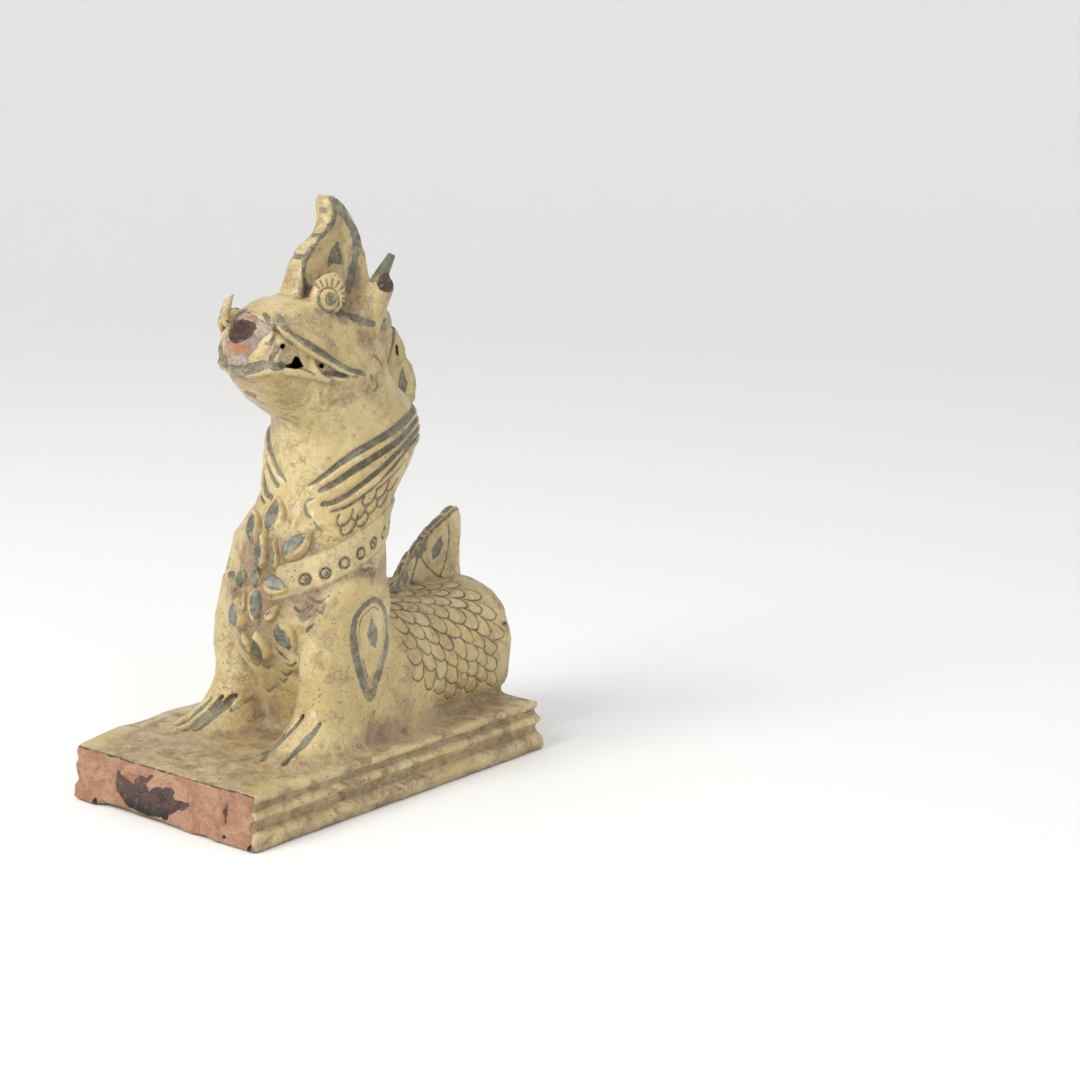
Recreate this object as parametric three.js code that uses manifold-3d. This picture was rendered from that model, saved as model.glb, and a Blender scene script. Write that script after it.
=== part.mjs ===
// A fired clay beast that sits on a moulded ridge tile. Slab, body, legs, head and fins are one piece.
// Millimetres. The beast looks towards -Y, its left flank is +X and +Z is up.
// The origin is under the slab's middle.
import * as THREE from 'three';
import * as BufferGeometryUtils from 'three/addons/utils/BufferGeometryUtils.js';
import Module from 'manifold-3d';

// Ridge tile slab
const slabWidth = 182;
const slabLength = 322;
const slabThick = 38;
const endLean = 3.5;

// Rear body, an arched barrel that ends flush with the slab
const barrelHalfWidth = 61;
const barrelTop = 128;
const barrelFront = 20;
const barrelRear = 159;
const barrelWidest = 76;

// Upright plates along the middle
const crestThick = 15;
const maneThick = 14;
const finThick = 11;
const beastTop = 430;

// Eye, horn, nose curl and teeth
const eyeRadius = 13;
const eyeProud = 12;
const hornRadius = 11.5;
const curlRadius = 3.8;

// Collar strap and the locks of hair above it
const strapWidth = 24;
const strapProud = 2.4;
const lockCount = 4;
const lockRadius = 4.6;

// Height, middle in Y, half width in X and half depth in Y of the chest and neck
const trunkStations = [
  [30, 2, 42, 34],
  [60, 2, 44, 36],
  [85, -2, 48, 44],
  [103, -8, 53, 54],
  [125, -13, 57, 57],
  [148, -14, 59, 56],
  [162, -10, 57.5, 54.5],
  [176, -6, 56, 55],
  [188, -1, 54, 56.5],
  [198, 6, 52, 53.5],
  [206, 12, 50, 51],
  [216, 17, 49, 51.5],
  [228, 23, 49, 54],
  [243, 26, 50.5, 56],
  [259, 28, 50, 56],
  [275, 27, 48, 54],
  [290, 20, 43, 48],
  [306, 8, 36, 40],
];

// Place in Y, half width, underside and top of the head, from the muzzle to the nape
const headStations = [
  [-76, 16, 307, 341],
  [-73, 23, 301, 347],
  [-66, 29, 295, 352],
  [-55, 35, 286, 357],
  [-40, 40, 276, 361],
  [-20, 44, 264, 361],
  [0, 47, 258, 357],
  [20, 45, 256, 346],
  [38, 38, 258, 327],
  [50, 25, 262, 308],
  [57, 12, 270, 294],
];

// Height, middle in X and Y, half width and half depth of the left foreleg
const legStations = [
  [34, 49, -44, 24, 36],
  [46, 48, -42, 23, 33],
  [60, 44, -34, 21, 29],
  [80, 41, -28, 21, 29],
  [105, 41, -22, 22, 34],
  [128, 42, -17, 22, 37],
  [148, 40, -14, 20, 34],
  [164, 35, -12, 16, 26],
  [176, 28, -8, 12, 18],
];

// Height, middle in X and Y, half width and half depth of the flank that runs back from the leg
const flankStations = [
  [34, 44, 30, 22, 50],
  [46, 44, 22, 21, 44],
  [62, 44, 12, 20, 36],
  [84, 43, 6, 18, 30],
  [108, 42, 0, 16, 26],
  [126, 40, -6, 12, 20],
];

const wasm = await Module();
wasm.setup();

function toSolid(geometry) {
  const bare = geometry.clone();
  bare.deleteAttribute('normal');
  bare.deleteAttribute('uv');
  const merged = BufferGeometryUtils.mergeVertices(bare, 1e-4);
  const mesh = new wasm.Mesh({
    numProp: 3,
    vertProperties: new Float32Array(merged.attributes.position.array),
    triVerts: new Uint32Array(merged.index.array),
  });
  return new wasm.Manifold(mesh);
}

function toGeometry(solid) {
  const mesh = solid.getMesh();
  const geometry = new THREE.BufferGeometry();
  geometry.setAttribute('position', new THREE.BufferAttribute(mesh.vertProperties, 3));
  geometry.setIndex(new THREE.BufferAttribute(mesh.triVerts, 1));
  geometry.computeVertexNormals();
  return geometry;
}

// A closed skin over rings of equal point counts, with its faces turned outwards.
function skin(rings) {
  const count = rings[0].length;
  const points = rings.flat();
  const last = (rings.length - 1) * count;
  const index = [];
  for (let i = 0; i < last; i += count) {
    for (let j = 0; j < count; j += 1) {
      const k = (j + 1) % count;
      index.push(i + j, i + k, i + count + k, i + j, i + count + k, i + count + j);
    }
  }
  const startMiddle = points.length;
  const endMiddle = points.length + 1;
  points.push(middleOf(rings[0]), middleOf(rings[rings.length - 1]));
  for (let j = 0; j < count; j += 1) {
    const k = (j + 1) % count;
    index.push(startMiddle, k, j, endMiddle, last + j, last + k);
  }
  let volume = 0;
  for (let i = 0; i < index.length; i += 3) {
    const cross = points[index[i + 1]].clone().cross(points[index[i + 2]]);
    volume += points[index[i]].dot(cross);
  }
  if (volume < 0) {
    index.reverse();
  }
  const geometry = new THREE.BufferGeometry().setFromPoints(points);
  geometry.setIndex(index);
  return geometry;
}

function middleOf(ring) {
  const middle = new THREE.Vector3();
  ring.forEach((point) => middle.add(point));
  return middle.divideScalar(ring.length);
}

// Signed power, so that one formula gives all four quarters of a squared-off oval.
function softPower(value, power) {
  return Math.sign(value) * Math.abs(value) ** power;
}

function oval(middle, across, up, halfAcross, halfUp, squareness, count) {
  const ring = [];
  for (let i = 0; i < count; i += 1) {
    const angle = (i / count) * Math.PI * 2;
    const a = softPower(Math.cos(angle), 2 / squareness) * halfAcross;
    const b = softPower(Math.sin(angle), 2 / squareness) * halfUp;
    ring.push(middle.clone().addScaledVector(across, a).addScaledVector(up, b));
  }
  return ring;
}

// Rows between the given stations, on a smooth curve through all of them.
function smoothRows(stations, count) {
  const rows = [];
  for (let i = 0; i < count; i += 1) {
    const place = (i / (count - 1)) * (stations.length - 1);
    const at = Math.min(Math.floor(place), stations.length - 2);
    const t = place - at;
    const before = stations[Math.max(at - 1, 0)];
    const from = stations[at];
    const to = stations[at + 1];
    const after = stations[Math.min(at + 2, stations.length - 1)];
    rows.push(from.map((start, column) => {
      const end = to[column];
      const leave = (end - before[column]) / 2;
      const arrive = (after[column] - start) / 2;
      const cubic = 2 * start - 2 * end + leave + arrive;
      const square = -3 * start + 3 * end - 2 * leave - arrive;
      return start + t * (leave + t * (square + t * cubic));
    }));
  }
  return rows;
}

const xAxis = new THREE.Vector3(1, 0, 0);
const yAxis = new THREE.Vector3(0, 1, 0);
const zAxis = new THREE.Vector3(0, 0, 1);

// Radii of the trunk at a height, straight between its stations.
function trunkAt(height) {
  let low = trunkStations[0];
  let high = trunkStations[trunkStations.length - 1];
  trunkStations.forEach((row) => {
    if (row[0] <= height && row[0] >= low[0]) {
      low = row;
    }
  });
  [...trunkStations].reverse().forEach((row) => {
    if (row[0] >= height) {
      high = row;
    }
  });
  const part = high[0] === low[0] ? 0 : (height - low[0]) / (high[0] - low[0]);
  return low.map((value, column) => value + (high[column] - value) * part);
}

// A point on the trunk's skin. The turn is 0 at the front and 90 degrees on the left flank.
function onTrunk(height, turnDegrees, proud) {
  const [, middle, halfWidth, halfDepth] = trunkAt(height);
  const turn = THREE.MathUtils.degToRad(turnDegrees);
  const x = Math.sin(turn) * halfWidth;
  const y = middle - Math.cos(turn) * halfDepth;
  const outX = Math.sin(turn) / halfWidth;
  const outY = -Math.cos(turn) / halfDepth;
  const size = Math.hypot(outX, outY);
  return new THREE.Vector3(x + (outX / size) * proud, y + (outY / size) * proud, height);
}

function column(stations, side, count, rowCount) {
  return skin(smoothRows(stations, rowCount).map(([z, x, y, halfX, halfY]) => (
    oval(new THREE.Vector3(side * x, y, z), xAxis, yAxis, halfX, halfY, 2.2, count)
  )));
}

// Side moulding: bottom band, cove, middle rib, cove and top lip. Both ends lean out towards the
// underside, and the right-hand top edge has warped upwards in the kiln.
function makeSlab() {
  const half = slabWidth / 2;
  const side = [
    [half - 2, 0],
    [half, 2],
    [half, 9],
    [half - 1.5, 11.5],
    [half - 6, 13.5],
    [half - 7, 17],
    [half - 5, 20.5],
    [half - 1.5, 23],
    [half - 1.5, 26],
    [half - 6, 28],
    [half - 7, 31],
    [half - 4, 34],
    [half - 4, slabThick - 1],
    [half - 5, slabThick],
  ];
  const stops = [[-1, 0], [-0.93, 3], [-0.8, 6], [-0.6, 7.5], [-0.35, 8], [0, 6], [0.5, 2], [1, 0]];
  const rings = stops.map(([place, warp]) => {
    const point = (x, z) => {
      const lean = (slabLength / 2) - endLean * (z / slabThick);
      const lift = warp * (0.5 - x / slabWidth) * (z / slabThick);
      return new THREE.Vector3(x, place * lean, z + lift);
    };
    const right = side.map(([x, z]) => point(x, z));
    const middle = [0.5, 0, -0.5].map((part) => point(part * half, slabThick));
    const left = [...side].reverse().map(([x, z]) => point(-x, z));
    return [...right, ...middle, ...left];
  });
  return skin(rings);
}

function makeBarrel() {
  const shoulder = 9;
  const stops = [[barrelFront, 1], [60, 1], [100, 1], [barrelRear - shoulder, 1]];
  for (let i = 1; i <= 3; i += 1) {
    const turn = (i / 3) * (Math.PI / 2) * 0.92;
    const inset = (1 - Math.cos(turn)) * shoulder;
    stops.push([barrelRear - shoulder + Math.sin(turn) * shoulder, 1 - inset / barrelHalfWidth]);
  }
  const rings = stops.map(([y, scale]) => {
    const ring = [];
    const arch = 20;
    for (let i = 0; i <= arch; i += 1) {
      const turn = (i / arch) * Math.PI;
      const x = softPower(Math.cos(turn), 0.95) * barrelHalfWidth;
      const z = barrelWidest + softPower(Math.sin(turn), 0.95) * (barrelTop - barrelWidest);
      ring.push(new THREE.Vector3(x * scale, y, barrelWidest + (z - barrelWidest) * scale));
    }
    ring.push(new THREE.Vector3(-56 * scale, y, 52), new THREE.Vector3(-50 * scale, y, slabThick - 6));
    ring.push(new THREE.Vector3(50 * scale, y, slabThick - 6), new THREE.Vector3(56 * scale, y, 52));
    return ring;
  });
  return skin(rings);
}

function makeTrunk() {
  return skin(smoothRows(trunkStations, 19).map(([z, y, halfX, halfY]) => (
    oval(new THREE.Vector3(0, y, z), xAxis, yAxis, halfX, halfY, 2.05, 24)
  )));
}

function makeHead() {
  return skin(smoothRows(headStations, 16).map(([y, half, low, high]) => (
    oval(new THREE.Vector3(0, y, (low + high) / 2), xAxis, zAxis, half, (high - low) / 2, 2.4, 24)
  )));
}

// A paw that spreads forwards from the ankle, with its toes as four ridges.
function makePaw(side, middle, halfWidth) {
  const rows = [
    [-36, 42, 20, 74],
    [-54, 44, halfWidth - 1, 66],
    [-70, (middle + 45) / 2, halfWidth, 56],
    [-84, middle, halfWidth - 1, 49],
    [-93, middle, halfWidth - 5, 43],
  ];
  const palm = skin(rows.map(([y, x, half, top]) => (
    oval(new THREE.Vector3(side * x, y, slabThick - 2), xAxis, zAxis, half, top - slabThick, 2.2, 18)
  )));
  const toes = [];
  const toeCount = 4;
  for (let i = 0; i < toeCount; i += 1) {
    const spread = (i / (toeCount - 1) - 0.5) * 2;
    const tipX = middle + spread * (halfWidth - 5);
    const rootX = 44 + spread * (halfWidth - 10);
    const tipY = -93 + Math.abs(spread) * 5;
    const line = new THREE.CatmullRomCurve3([
      new THREE.Vector3(side * rootX, -54, 62),
      new THREE.Vector3(side * (rootX + tipX) / 2, -74, 53),
      new THREE.Vector3(side * tipX, tipY + 6, 44),
      new THREE.Vector3(side * tipX, tipY, 39),
    ]);
    toes.push(taper(line, [3, 5.6, 5.8, 3.6], 6, 5));
  }
  return [palm, ...toes];
}

// A round bar along a curve, with radii spread evenly along it.
function taper(curve, radii, count, rowCount) {
  const rings = [];
  for (let i = 0; i < rowCount; i += 1) {
    const t = i / (rowCount - 1);
    const along = curve.getTangentAt(t);
    const side = Math.abs(along.x) > 0.8 ? yAxis : xAxis;
    const across = new THREE.Vector3().crossVectors(along, side).normalize();
    const up = new THREE.Vector3().crossVectors(across, along).normalize();
    const place = t * (radii.length - 1);
    const at = Math.min(Math.floor(place), radii.length - 2);
    const radius = radii[at] + (radii[at + 1] - radii[at]) * (place - at);
    rings.push(oval(curve.getPointAt(t), across, up, radius, radius, 2, count));
  }
  return skin(rings);
}

// An upright plate in the middle plane from an outline in Y and Z, with softened edges.
function makePlate(outline, thick, bevel) {
  const plate = new THREE.ExtrudeGeometry(outline, {
    depth: thick - 2 * bevel,
    curveSegments: 7,
    bevelEnabled: true,
    bevelThickness: bevel,
    bevelSize: bevel,
    bevelOffset: -bevel,
    bevelSegments: 1,
  });
  plate.translate(0, 0, bevel - thick / 2);
  plate.applyMatrix4(new THREE.Matrix4().makeBasis(yAxis, zAxis, xAxis));
  return plate;
}

// Flame-shaped crest with a hollow front edge and a full back edge.
function makeCrest() {
  const flame = new THREE.Shape();
  flame.moveTo(-35, 348);
  flame.bezierCurveTo(-27, 366, -26, 388, -12, 395);
  flame.bezierCurveTo(2, 402, 10, 411, 4, beastTop - 4);
  flame.lineTo(8, beastTop);
  flame.lineTo(14, beastTop - 2);
  flame.bezierCurveTo(32, 416, 45, 396, 44, 372);
  flame.lineTo(46, 335);
  flame.lineTo(-33, 335);
  flame.closePath();
  return makePlate(flame, crestThick, 2);
}

// Mane plate down the nape, in flame steps.
function makeMane() {
  const comb = new THREE.Shape();
  comb.moveTo(24, 300);
  comb.lineTo(38, 360);
  comb.lineTo(46, 379);
  comb.quadraticCurveTo(50, 360, 64, 348);
  comb.quadraticCurveTo(73, 341, 75, 331);
  comb.quadraticCurveTo(87, 320, 90, 306);
  comb.quadraticCurveTo(101, 296, 101, 284);
  comb.lineTo(100, 274);
  comb.lineTo(84, 256);
  comb.lineTo(40, 256);
  comb.closePath();
  return makePlate(comb, maneThick, 2);
}

function makeFins() {
  const foot = barrelTop - 12;
  const front = new THREE.Shape();
  front.moveTo(74, foot);
  front.quadraticCurveTo(84, 132, 100, 148);
  front.lineTo(114, 157);
  front.quadraticCurveTo(118, 140, 112, foot);
  front.closePath();
  const rear = new THREE.Shape();
  rear.moveTo(108, foot);
  rear.quadraticCurveTo(108, 148, 117, 158);
  rear.quadraticCurveTo(130, 165, 144, 175);
  rear.lineTo(156, 180);
  rear.quadraticCurveTo(161, 176, 160.5, 164);
  rear.lineTo(158, foot);
  rear.closePath();
  return [makePlate(front, finThick - 1, 1.5), makePlate(rear, finThick, 1.5)];
}

// Bulging eye, a blunt boss whose face looks out, forwards and a little up.
function makeEye(side) {
  const profile = [
    new THREE.Vector2(0, -14),
    new THREE.Vector2(eyeRadius - 1, -14),
    new THREE.Vector2(eyeRadius, eyeProud - 5),
    new THREE.Vector2(eyeRadius - 2.5, eyeProud - 1),
    new THREE.Vector2(7, eyeProud),
    new THREE.Vector2(0, eyeProud + 1),
  ];
  const boss = new THREE.LatheGeometry(profile, 12);
  const facing = new THREE.Vector3(side * 0.76, -0.6, 0.25).normalize();
  boss.applyQuaternion(new THREE.Quaternion().setFromUnitVectors(yAxis, facing));
  boss.translate(side * 25, -18, 361);
  return boss;
}

// Horn behind the eye, broken off in a step that leaves a narrow splinter standing.
function makeHorn() {
  const foot = new THREE.Vector3(30, 2, 336);
  const tip = new THREE.Vector3(39, 27, 369);
  const stump = taper(new THREE.LineCurve3(foot, tip), [hornRadius, hornRadius * 0.84], 12, 3);
  const splinter = new THREE.LineCurve3(new THREE.Vector3(36, 21, 364), new THREE.Vector3(40, 36, 390));
  return [stump, taper(splinter, [5.5, 6, 4, 1.8], 8, 5)];
}

// Stump of the lost right horn.
function makeStump() {
  const line = new THREE.LineCurve3(new THREE.Vector3(-30, 2, 336), new THREE.Vector3(-33, 9, 351));
  return taper(line, [hornRadius, hornRadius * 0.95], 12, 2);
}

// Curl at the tip of the nose.
function makeCurl() {
  const curve = new THREE.CatmullRomCurve3([
    new THREE.Vector3(-10, -60, 345),
    new THREE.Vector3(-13, -72, 341),
    new THREE.Vector3(-14, -80, 348),
    new THREE.Vector3(-14, -79, 357),
    new THREE.Vector3(-14, -72, 364),
  ]);
  return taper(curve, [curlRadius, curlRadius, curlRadius * 0.95, curlRadius * 0.75, 1.6], 8, 8);
}

// Lips that stand proud along the mouth, from the muzzle back to the corner.
function makeLips(side) {
  const lower = new THREE.CatmullRomCurve3([
    new THREE.Vector3(0, -77, 316),
    new THREE.Vector3(side * 20, -73, 317),
    new THREE.Vector3(side * 31, -55, 314),
    new THREE.Vector3(side * 42, -22, 309),
    new THREE.Vector3(side * 46, 2, 305),
  ]);
  const upper = new THREE.CatmullRomCurve3([
    new THREE.Vector3(side * 23, -66, 344),
    new THREE.Vector3(side * 33, -50, 338),
    new THREE.Vector3(side * 43, -20, 322),
    new THREE.Vector3(side * 46, 2, 307),
  ]);
  return [taper(lower, [3.6, 3.6, 3.4, 3, 2.4], 6, 9), taper(upper, [3, 3.6, 3, 2.4], 6, 8)];
}

// Strap round the shoulders, from the chest ornament up to the nape and down again.
function makeStrap() {
  const rings = [];
  const steps = 26;
  const start = 20;
  for (let i = 0; i <= steps; i += 1) {
    const turn = start + (i / steps) * (360 - 2 * start);
    const rise = (1 - Math.cos(THREE.MathUtils.degToRad(turn))) / 2;
    const height = 160 + rise * 46;
    const half = strapWidth / 2;
    rings.push([
      onTrunk(height - half, turn, -6),
      onTrunk(height - half, turn, strapProud),
      onTrunk(height + half, turn, strapProud),
      onTrunk(height + half, turn, -6),
    ]);
  }
  return skin(rings);
}

// Locks of hair that sweep from the throat up to the nape on one side of the neck.
function makeLocks(side) {
  const locks = [];
  for (let i = 0; i < lockCount; i += 1) {
    const startTurn = 34 + i * 10;
    const startHeight = 227 - i * 8;
    const points = [];
    for (let j = 0; j <= 5; j += 1) {
      const t = j / 5;
      const turn = startTurn + t * (158 - startTurn);
      const height = startHeight + (52 - i * 3) * t;
      points.push(onTrunk(height, side * turn, 0.3 - i * 0.2));
    }
    const curve = new THREE.CatmullRomCurve3(points);
    locks.push(taper(curve, [2.2, lockRadius, lockRadius, lockRadius, 3], 6, 8));
  }
  return locks;
}

// Petals and studs of the chest ornament: turn, height, half width, half height and lean.
const petals = [
  [0, 159, 7, 8, 0],
  [17, 157, 9, 8, -70],
  [-17, 157, 9, 8, 70],
  [0, 180, 6, 13, 0],
  [19, 180, 4.5, 14, 0],
  [-19, 180, 4.5, 14, 0],
  [0, 138, 6, 13, 0],
  [19, 135, 6, 11, 15],
  [-19, 135, 6, 11, -15],
  [15, 207, 8, 15, 14],
  [-15, 207, 8, 15, -14],
  [37, 189, 9, 14, 45],
  [-37, 189, 9, 14, -45],
  [32, 122, 9, 13, 150],
  [-32, 122, 9, 13, -150],
  [9, 112, 6, 11, 170],
  [-6, 113, 6, 11, 180],
];

function makePetal([turn, height, halfWide, halfHigh, lean]) {
  const place = onTrunk(height, turn, 0);
  const out = onTrunk(height, turn, 1).sub(place).normalize();
  const up = zAxis.clone().applyAxisAngle(out, THREE.MathUtils.degToRad(-lean));
  const across = new THREE.Vector3().crossVectors(up, out).normalize();
  const petal = new THREE.SphereGeometry(1, 8, 4);
  petal.scale(halfWide, halfHigh, 5.5);
  petal.applyMatrix4(new THREE.Matrix4().makeBasis(across, up, out));
  petal.translate(place.x, place.y, place.z);
  return petal;
}

// Gaps between the teeth, and the hollow where the front of the snout is broken away.
function cutMouth(head) {
  let left = head;
  [1, -1].forEach((side) => {
    const gaps = [[26, -62, 333, 3.2], [32, -50, 328, 4.8], [39, -30, 321, 2.4]];
    gaps.forEach(([x, y, z, radius]) => {
      const drill = new THREE.ConeGeometry(radius, 26, 6);
      drill.rotateZ(side * Math.PI / 2);
      drill.translate(side * (x - 4), y + 4, z);
      left = left.subtract(toSolid(drill));
    });
  });
  const scar = new THREE.SphereGeometry(13, 10, 6);
  scar.scale(1.1, 0.8, 0.9);
  scar.translate(4, -83, 337);
  return left.subtract(toSolid(scar));
}

const pieces = [
  makeSlab(),
  makeBarrel(),
  makeTrunk(),
  column(legStations, 1, 16, 11),
  column(legStations, -1, 16, 11),
  column(flankStations, 1, 14, 7),
  column(flankStations, -1, 14, 7),
  ...makePaw(1, 51, 23),
  ...makePaw(-1, 47, 20),
  makeCrest(),
  makeMane(),
  ...makeFins(),
  makeEye(1),
  ...makeHorn(),
  makeStump(),
  makeCurl(),
  ...makeLips(1),
  ...makeLips(-1),
  makeStrap(),
  ...makeLocks(1),
  ...makeLocks(-1),
  ...petals.map(makePetal),
];

let beast = cutMouth(toSolid(makeHead()));
pieces.forEach((piece) => {
  beast = beast.add(toSolid(piece));
});

const glaze = new THREE.MeshStandardMaterial({ color: 0xc9b57a, roughness: 0.45, metalness: 0 });
const mesh = new THREE.Mesh(toGeometry(beast), glaze);
mesh.name = 'ridge_beast';

const group = new THREE.Group();
group.name = 'ridge_beast_ornament';
group.add(mesh);

export default group;
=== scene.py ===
import math

import bpy
import numpy as np
import openvdb
from mathutils import Euler, Matrix, Vector


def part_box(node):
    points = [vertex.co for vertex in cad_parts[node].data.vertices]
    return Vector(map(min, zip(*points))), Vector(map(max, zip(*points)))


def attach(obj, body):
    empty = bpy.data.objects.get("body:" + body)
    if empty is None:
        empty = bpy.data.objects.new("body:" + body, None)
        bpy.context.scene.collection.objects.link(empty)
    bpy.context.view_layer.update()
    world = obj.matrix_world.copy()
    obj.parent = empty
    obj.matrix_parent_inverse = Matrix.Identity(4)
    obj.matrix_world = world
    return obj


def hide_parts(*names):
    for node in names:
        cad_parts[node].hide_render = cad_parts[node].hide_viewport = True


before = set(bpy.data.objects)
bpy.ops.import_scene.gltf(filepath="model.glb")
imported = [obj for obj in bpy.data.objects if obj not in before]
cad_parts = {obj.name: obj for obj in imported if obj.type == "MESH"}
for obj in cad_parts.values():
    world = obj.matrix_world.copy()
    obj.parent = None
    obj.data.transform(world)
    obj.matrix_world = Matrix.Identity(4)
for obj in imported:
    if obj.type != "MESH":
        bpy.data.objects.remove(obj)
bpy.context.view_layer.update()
boxLow, boxHigh = (np.array(corner) * 1000 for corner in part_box("ridge_beast"))
tileWidth, tileLength = (boxHigh - boxLow)[:2]

clayBlock = {"voxel": 1.25, "margin": 7.0, "faces": 190000}


# shapes that every part is worked from

def softStep(start, end, value):
    t = np.clip((value - start) / (end - start), 0, 1)
    return t * t * (3 - 2 * t)


def softJoin(a, b, soft):  # union with a fillet
    h = np.clip(0.5 + 0.5 * (b - a) / soft, 0, 1)
    return b + (a - b) * h - soft * h * (1 - h)


def softCut(a, b, soft):  # a without b
    return -softJoin(-a, b, soft)


def unit(way):
    return way / np.linalg.norm(way, axis=-1, keepdims=True)


def roundEdge(a, b, radius):  # where two walls meet, with that edge radius
    inside = np.minimum(np.maximum(a, b) + radius, 0)
    return inside + np.hypot(np.maximum(a + radius, 0), np.maximum(b + radius, 0)) - radius


def smoothRows(stations, count):  # a smooth curve through all stations, column by column
    rows = np.array(stations, float)
    place = np.linspace(0, len(rows) - 1, count)
    at = np.minimum(place.astype(int), len(rows) - 2)
    t = (place - at)[:, None]
    before, start = rows[np.maximum(at - 1, 0)], rows[at]
    end, after = rows[at + 1], rows[np.minimum(at + 2, len(rows) - 1)]
    leave, arrive = (end - before) / 2, (after - start) / 2
    cubic = 2 * start - 2 * end + leave + arrive
    square = -3 * start + 3 * end - 2 * leave - arrive
    return start + t * (leave + t * (square + t * cubic))


def rowsAt(rows, place):  # each column of the rows at that height or depth
    return [np.interp(place, rows[:, 0], rows[:, k]) for k in range(1, rows.shape[1])]


def oval(u, v, halfU, halfV, power=2.0):
    a, b = np.abs(u) / halfU, np.abs(v) / halfV
    size = (a**power + b**power) ** (1 / power) + 1e-6
    slope = np.hypot((a / size) ** (power - 1) / halfU, (b / size) ** (power - 1) / halfV)
    return (size - 1) / np.maximum(slope, 1 / np.maximum(halfU, halfV))


def ball(place, middle, radii):
    x, y, z = ((c - m) / r for c, m, r in zip(place, middle, radii))
    size = np.sqrt(x * x + y * y + z * z) + 1e-6
    slope = np.sqrt((x / radii[0]) ** 2 + (y / radii[1]) ** 2 + (z / radii[2]) ** 2) / size
    return (size - 1) / np.maximum(slope, 1 / max(radii))


def outline(moves):  # points from straight (2 numbers), curved (4) and doubly curved (6) moves
    points = [np.array(moves[0], float)]
    for move in moves[1:]:
        hold = [points[-1]] + [np.array(move[i : i + 2], float) for i in range(0, len(move), 2)]
        for t in np.linspace(0, 1, 2 if len(move) == 2 else 9)[1:]:
            run = hold
            while len(run) > 1:
                run = [p + (q - p) * t for p, q in zip(run, run[1:])]
            points.append(run[0])
    return np.array(points)


def insideOutline(u, v, points):  # signed distance to a closed outline
    best, inside = 1e6, False
    for (au, av), (bu, bv) in zip(points, np.roll(points, -1, axis=0)):
        eu, ev = bu - au, bv - av
        if eu * eu + ev * ev < 1e-9:
            continue
        t = np.clip(((u - au) * eu + (v - av) * ev) / (eu * eu + ev * ev), 0, 1)
        best = np.minimum(best, (u - au - t * eu) ** 2 + (v - av - t * ev) ** 2)
        if abs(ev) > 1e-9:
            inside = inside ^ (((av > v) != (bv > v)) & (u < au + (v - av) * eu / ev))
    return np.sqrt(best) * np.where(inside, -1, 1)


def alongLine(points, halfWidths, per=5):  # a smooth line and its half width at every point
    line = smoothRows(points, per * (len(points) - 1) + 1)
    widths = np.atleast_1d(np.array(halfWidths, float))
    spread = np.linspace(0, 1, len(line))
    return line, np.interp(spread, np.linspace(0, 1, max(len(widths), 2)),
        np.resize(widths, max(len(widths), 2)))


def stroke(place, line, widths):  # distance from a line that has a width, negative inside it
    best = 1e3
    for a, b, wa, wb in zip(line, line[1:], widths, widths[1:]):
        along = b - a
        away = [c - start for c, start in zip(place, a)]
        t = np.clip(sum(w * g for w, g in zip(away, along)) / max(along @ along, 1e-9), 0, 1)
        gap = np.sqrt(sum((w - t * g) ** 2 for w, g in zip(away, along)))
        best = np.minimum(best, gap - (wa + (wb - wa) * t))
    return best


def lumps(points, size, seed):  # soft unevenness between -1 and 1
    cells = points / size + 50
    base = np.floor(cells).astype(int)
    t = cells - base
    t = t * t * (3 - 2 * t)
    table = np.random.default_rng(seed).uniform(-1, 1, (64, 64, 64))
    total = 0
    for corner in np.ndindex(2, 2, 2):
        weight = np.prod(np.where(corner, t, 1 - t), axis=1)
        total = total + weight * table[tuple(((base + corner) % 64).T)]
    return total


# the block of clay

voxel = clayBlock["voxel"]
blockLow = boxLow - clayBlock["margin"]
blockSteps = np.ceil((boxHigh - blockLow + clayBlock["margin"]) / voxel).astype(int) + 1
ticks = [(blockLow[i] + voxel * np.arange(blockSteps[i])).astype(np.float32) for i in range(3)]
clay = np.full(blockSteps, 30.0, np.float32)


def part(low, high):  # the stretch of the block round a shape, and its coordinates
    ends = [
        (max(int((a - s) / voxel), 0), min(int((b - s) / voxel) + 2, n))
        for a, b, s, n in zip(low, high, blockLow, blockSteps)
    ]
    x, y, z = (t[a:b] for t, (a, b) in zip(ticks, ends))
    return tuple(slice(a, b) for a, b in ends), (x[:, None, None], y[None, :, None], z[None, None, :])


def addClay(low, high, shape, soft=3.0, reach=10, work=softJoin):
    where, place = part(np.array(low) - reach, np.array(high) + reach)
    clay[where] = work(clay[where], shape(*place), soft)


def cutClay(low, high, shape, soft=1.5):
    addClay(low, high, shape, soft, 6, softCut)


def addBar(points, radii, soft=2.0, change=addClay):
    line, widths = alongLine(points, radii)
    edge = widths.max()
    change(line.min(0) - edge, line.max(0) + edge, lambda x, y, z: stroke((x, y, z), line, widths), soft)


def cutBar(points, radii, soft=1.0):
    addBar(points, radii, soft, cutClay)


# moulded ridge tile

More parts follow.
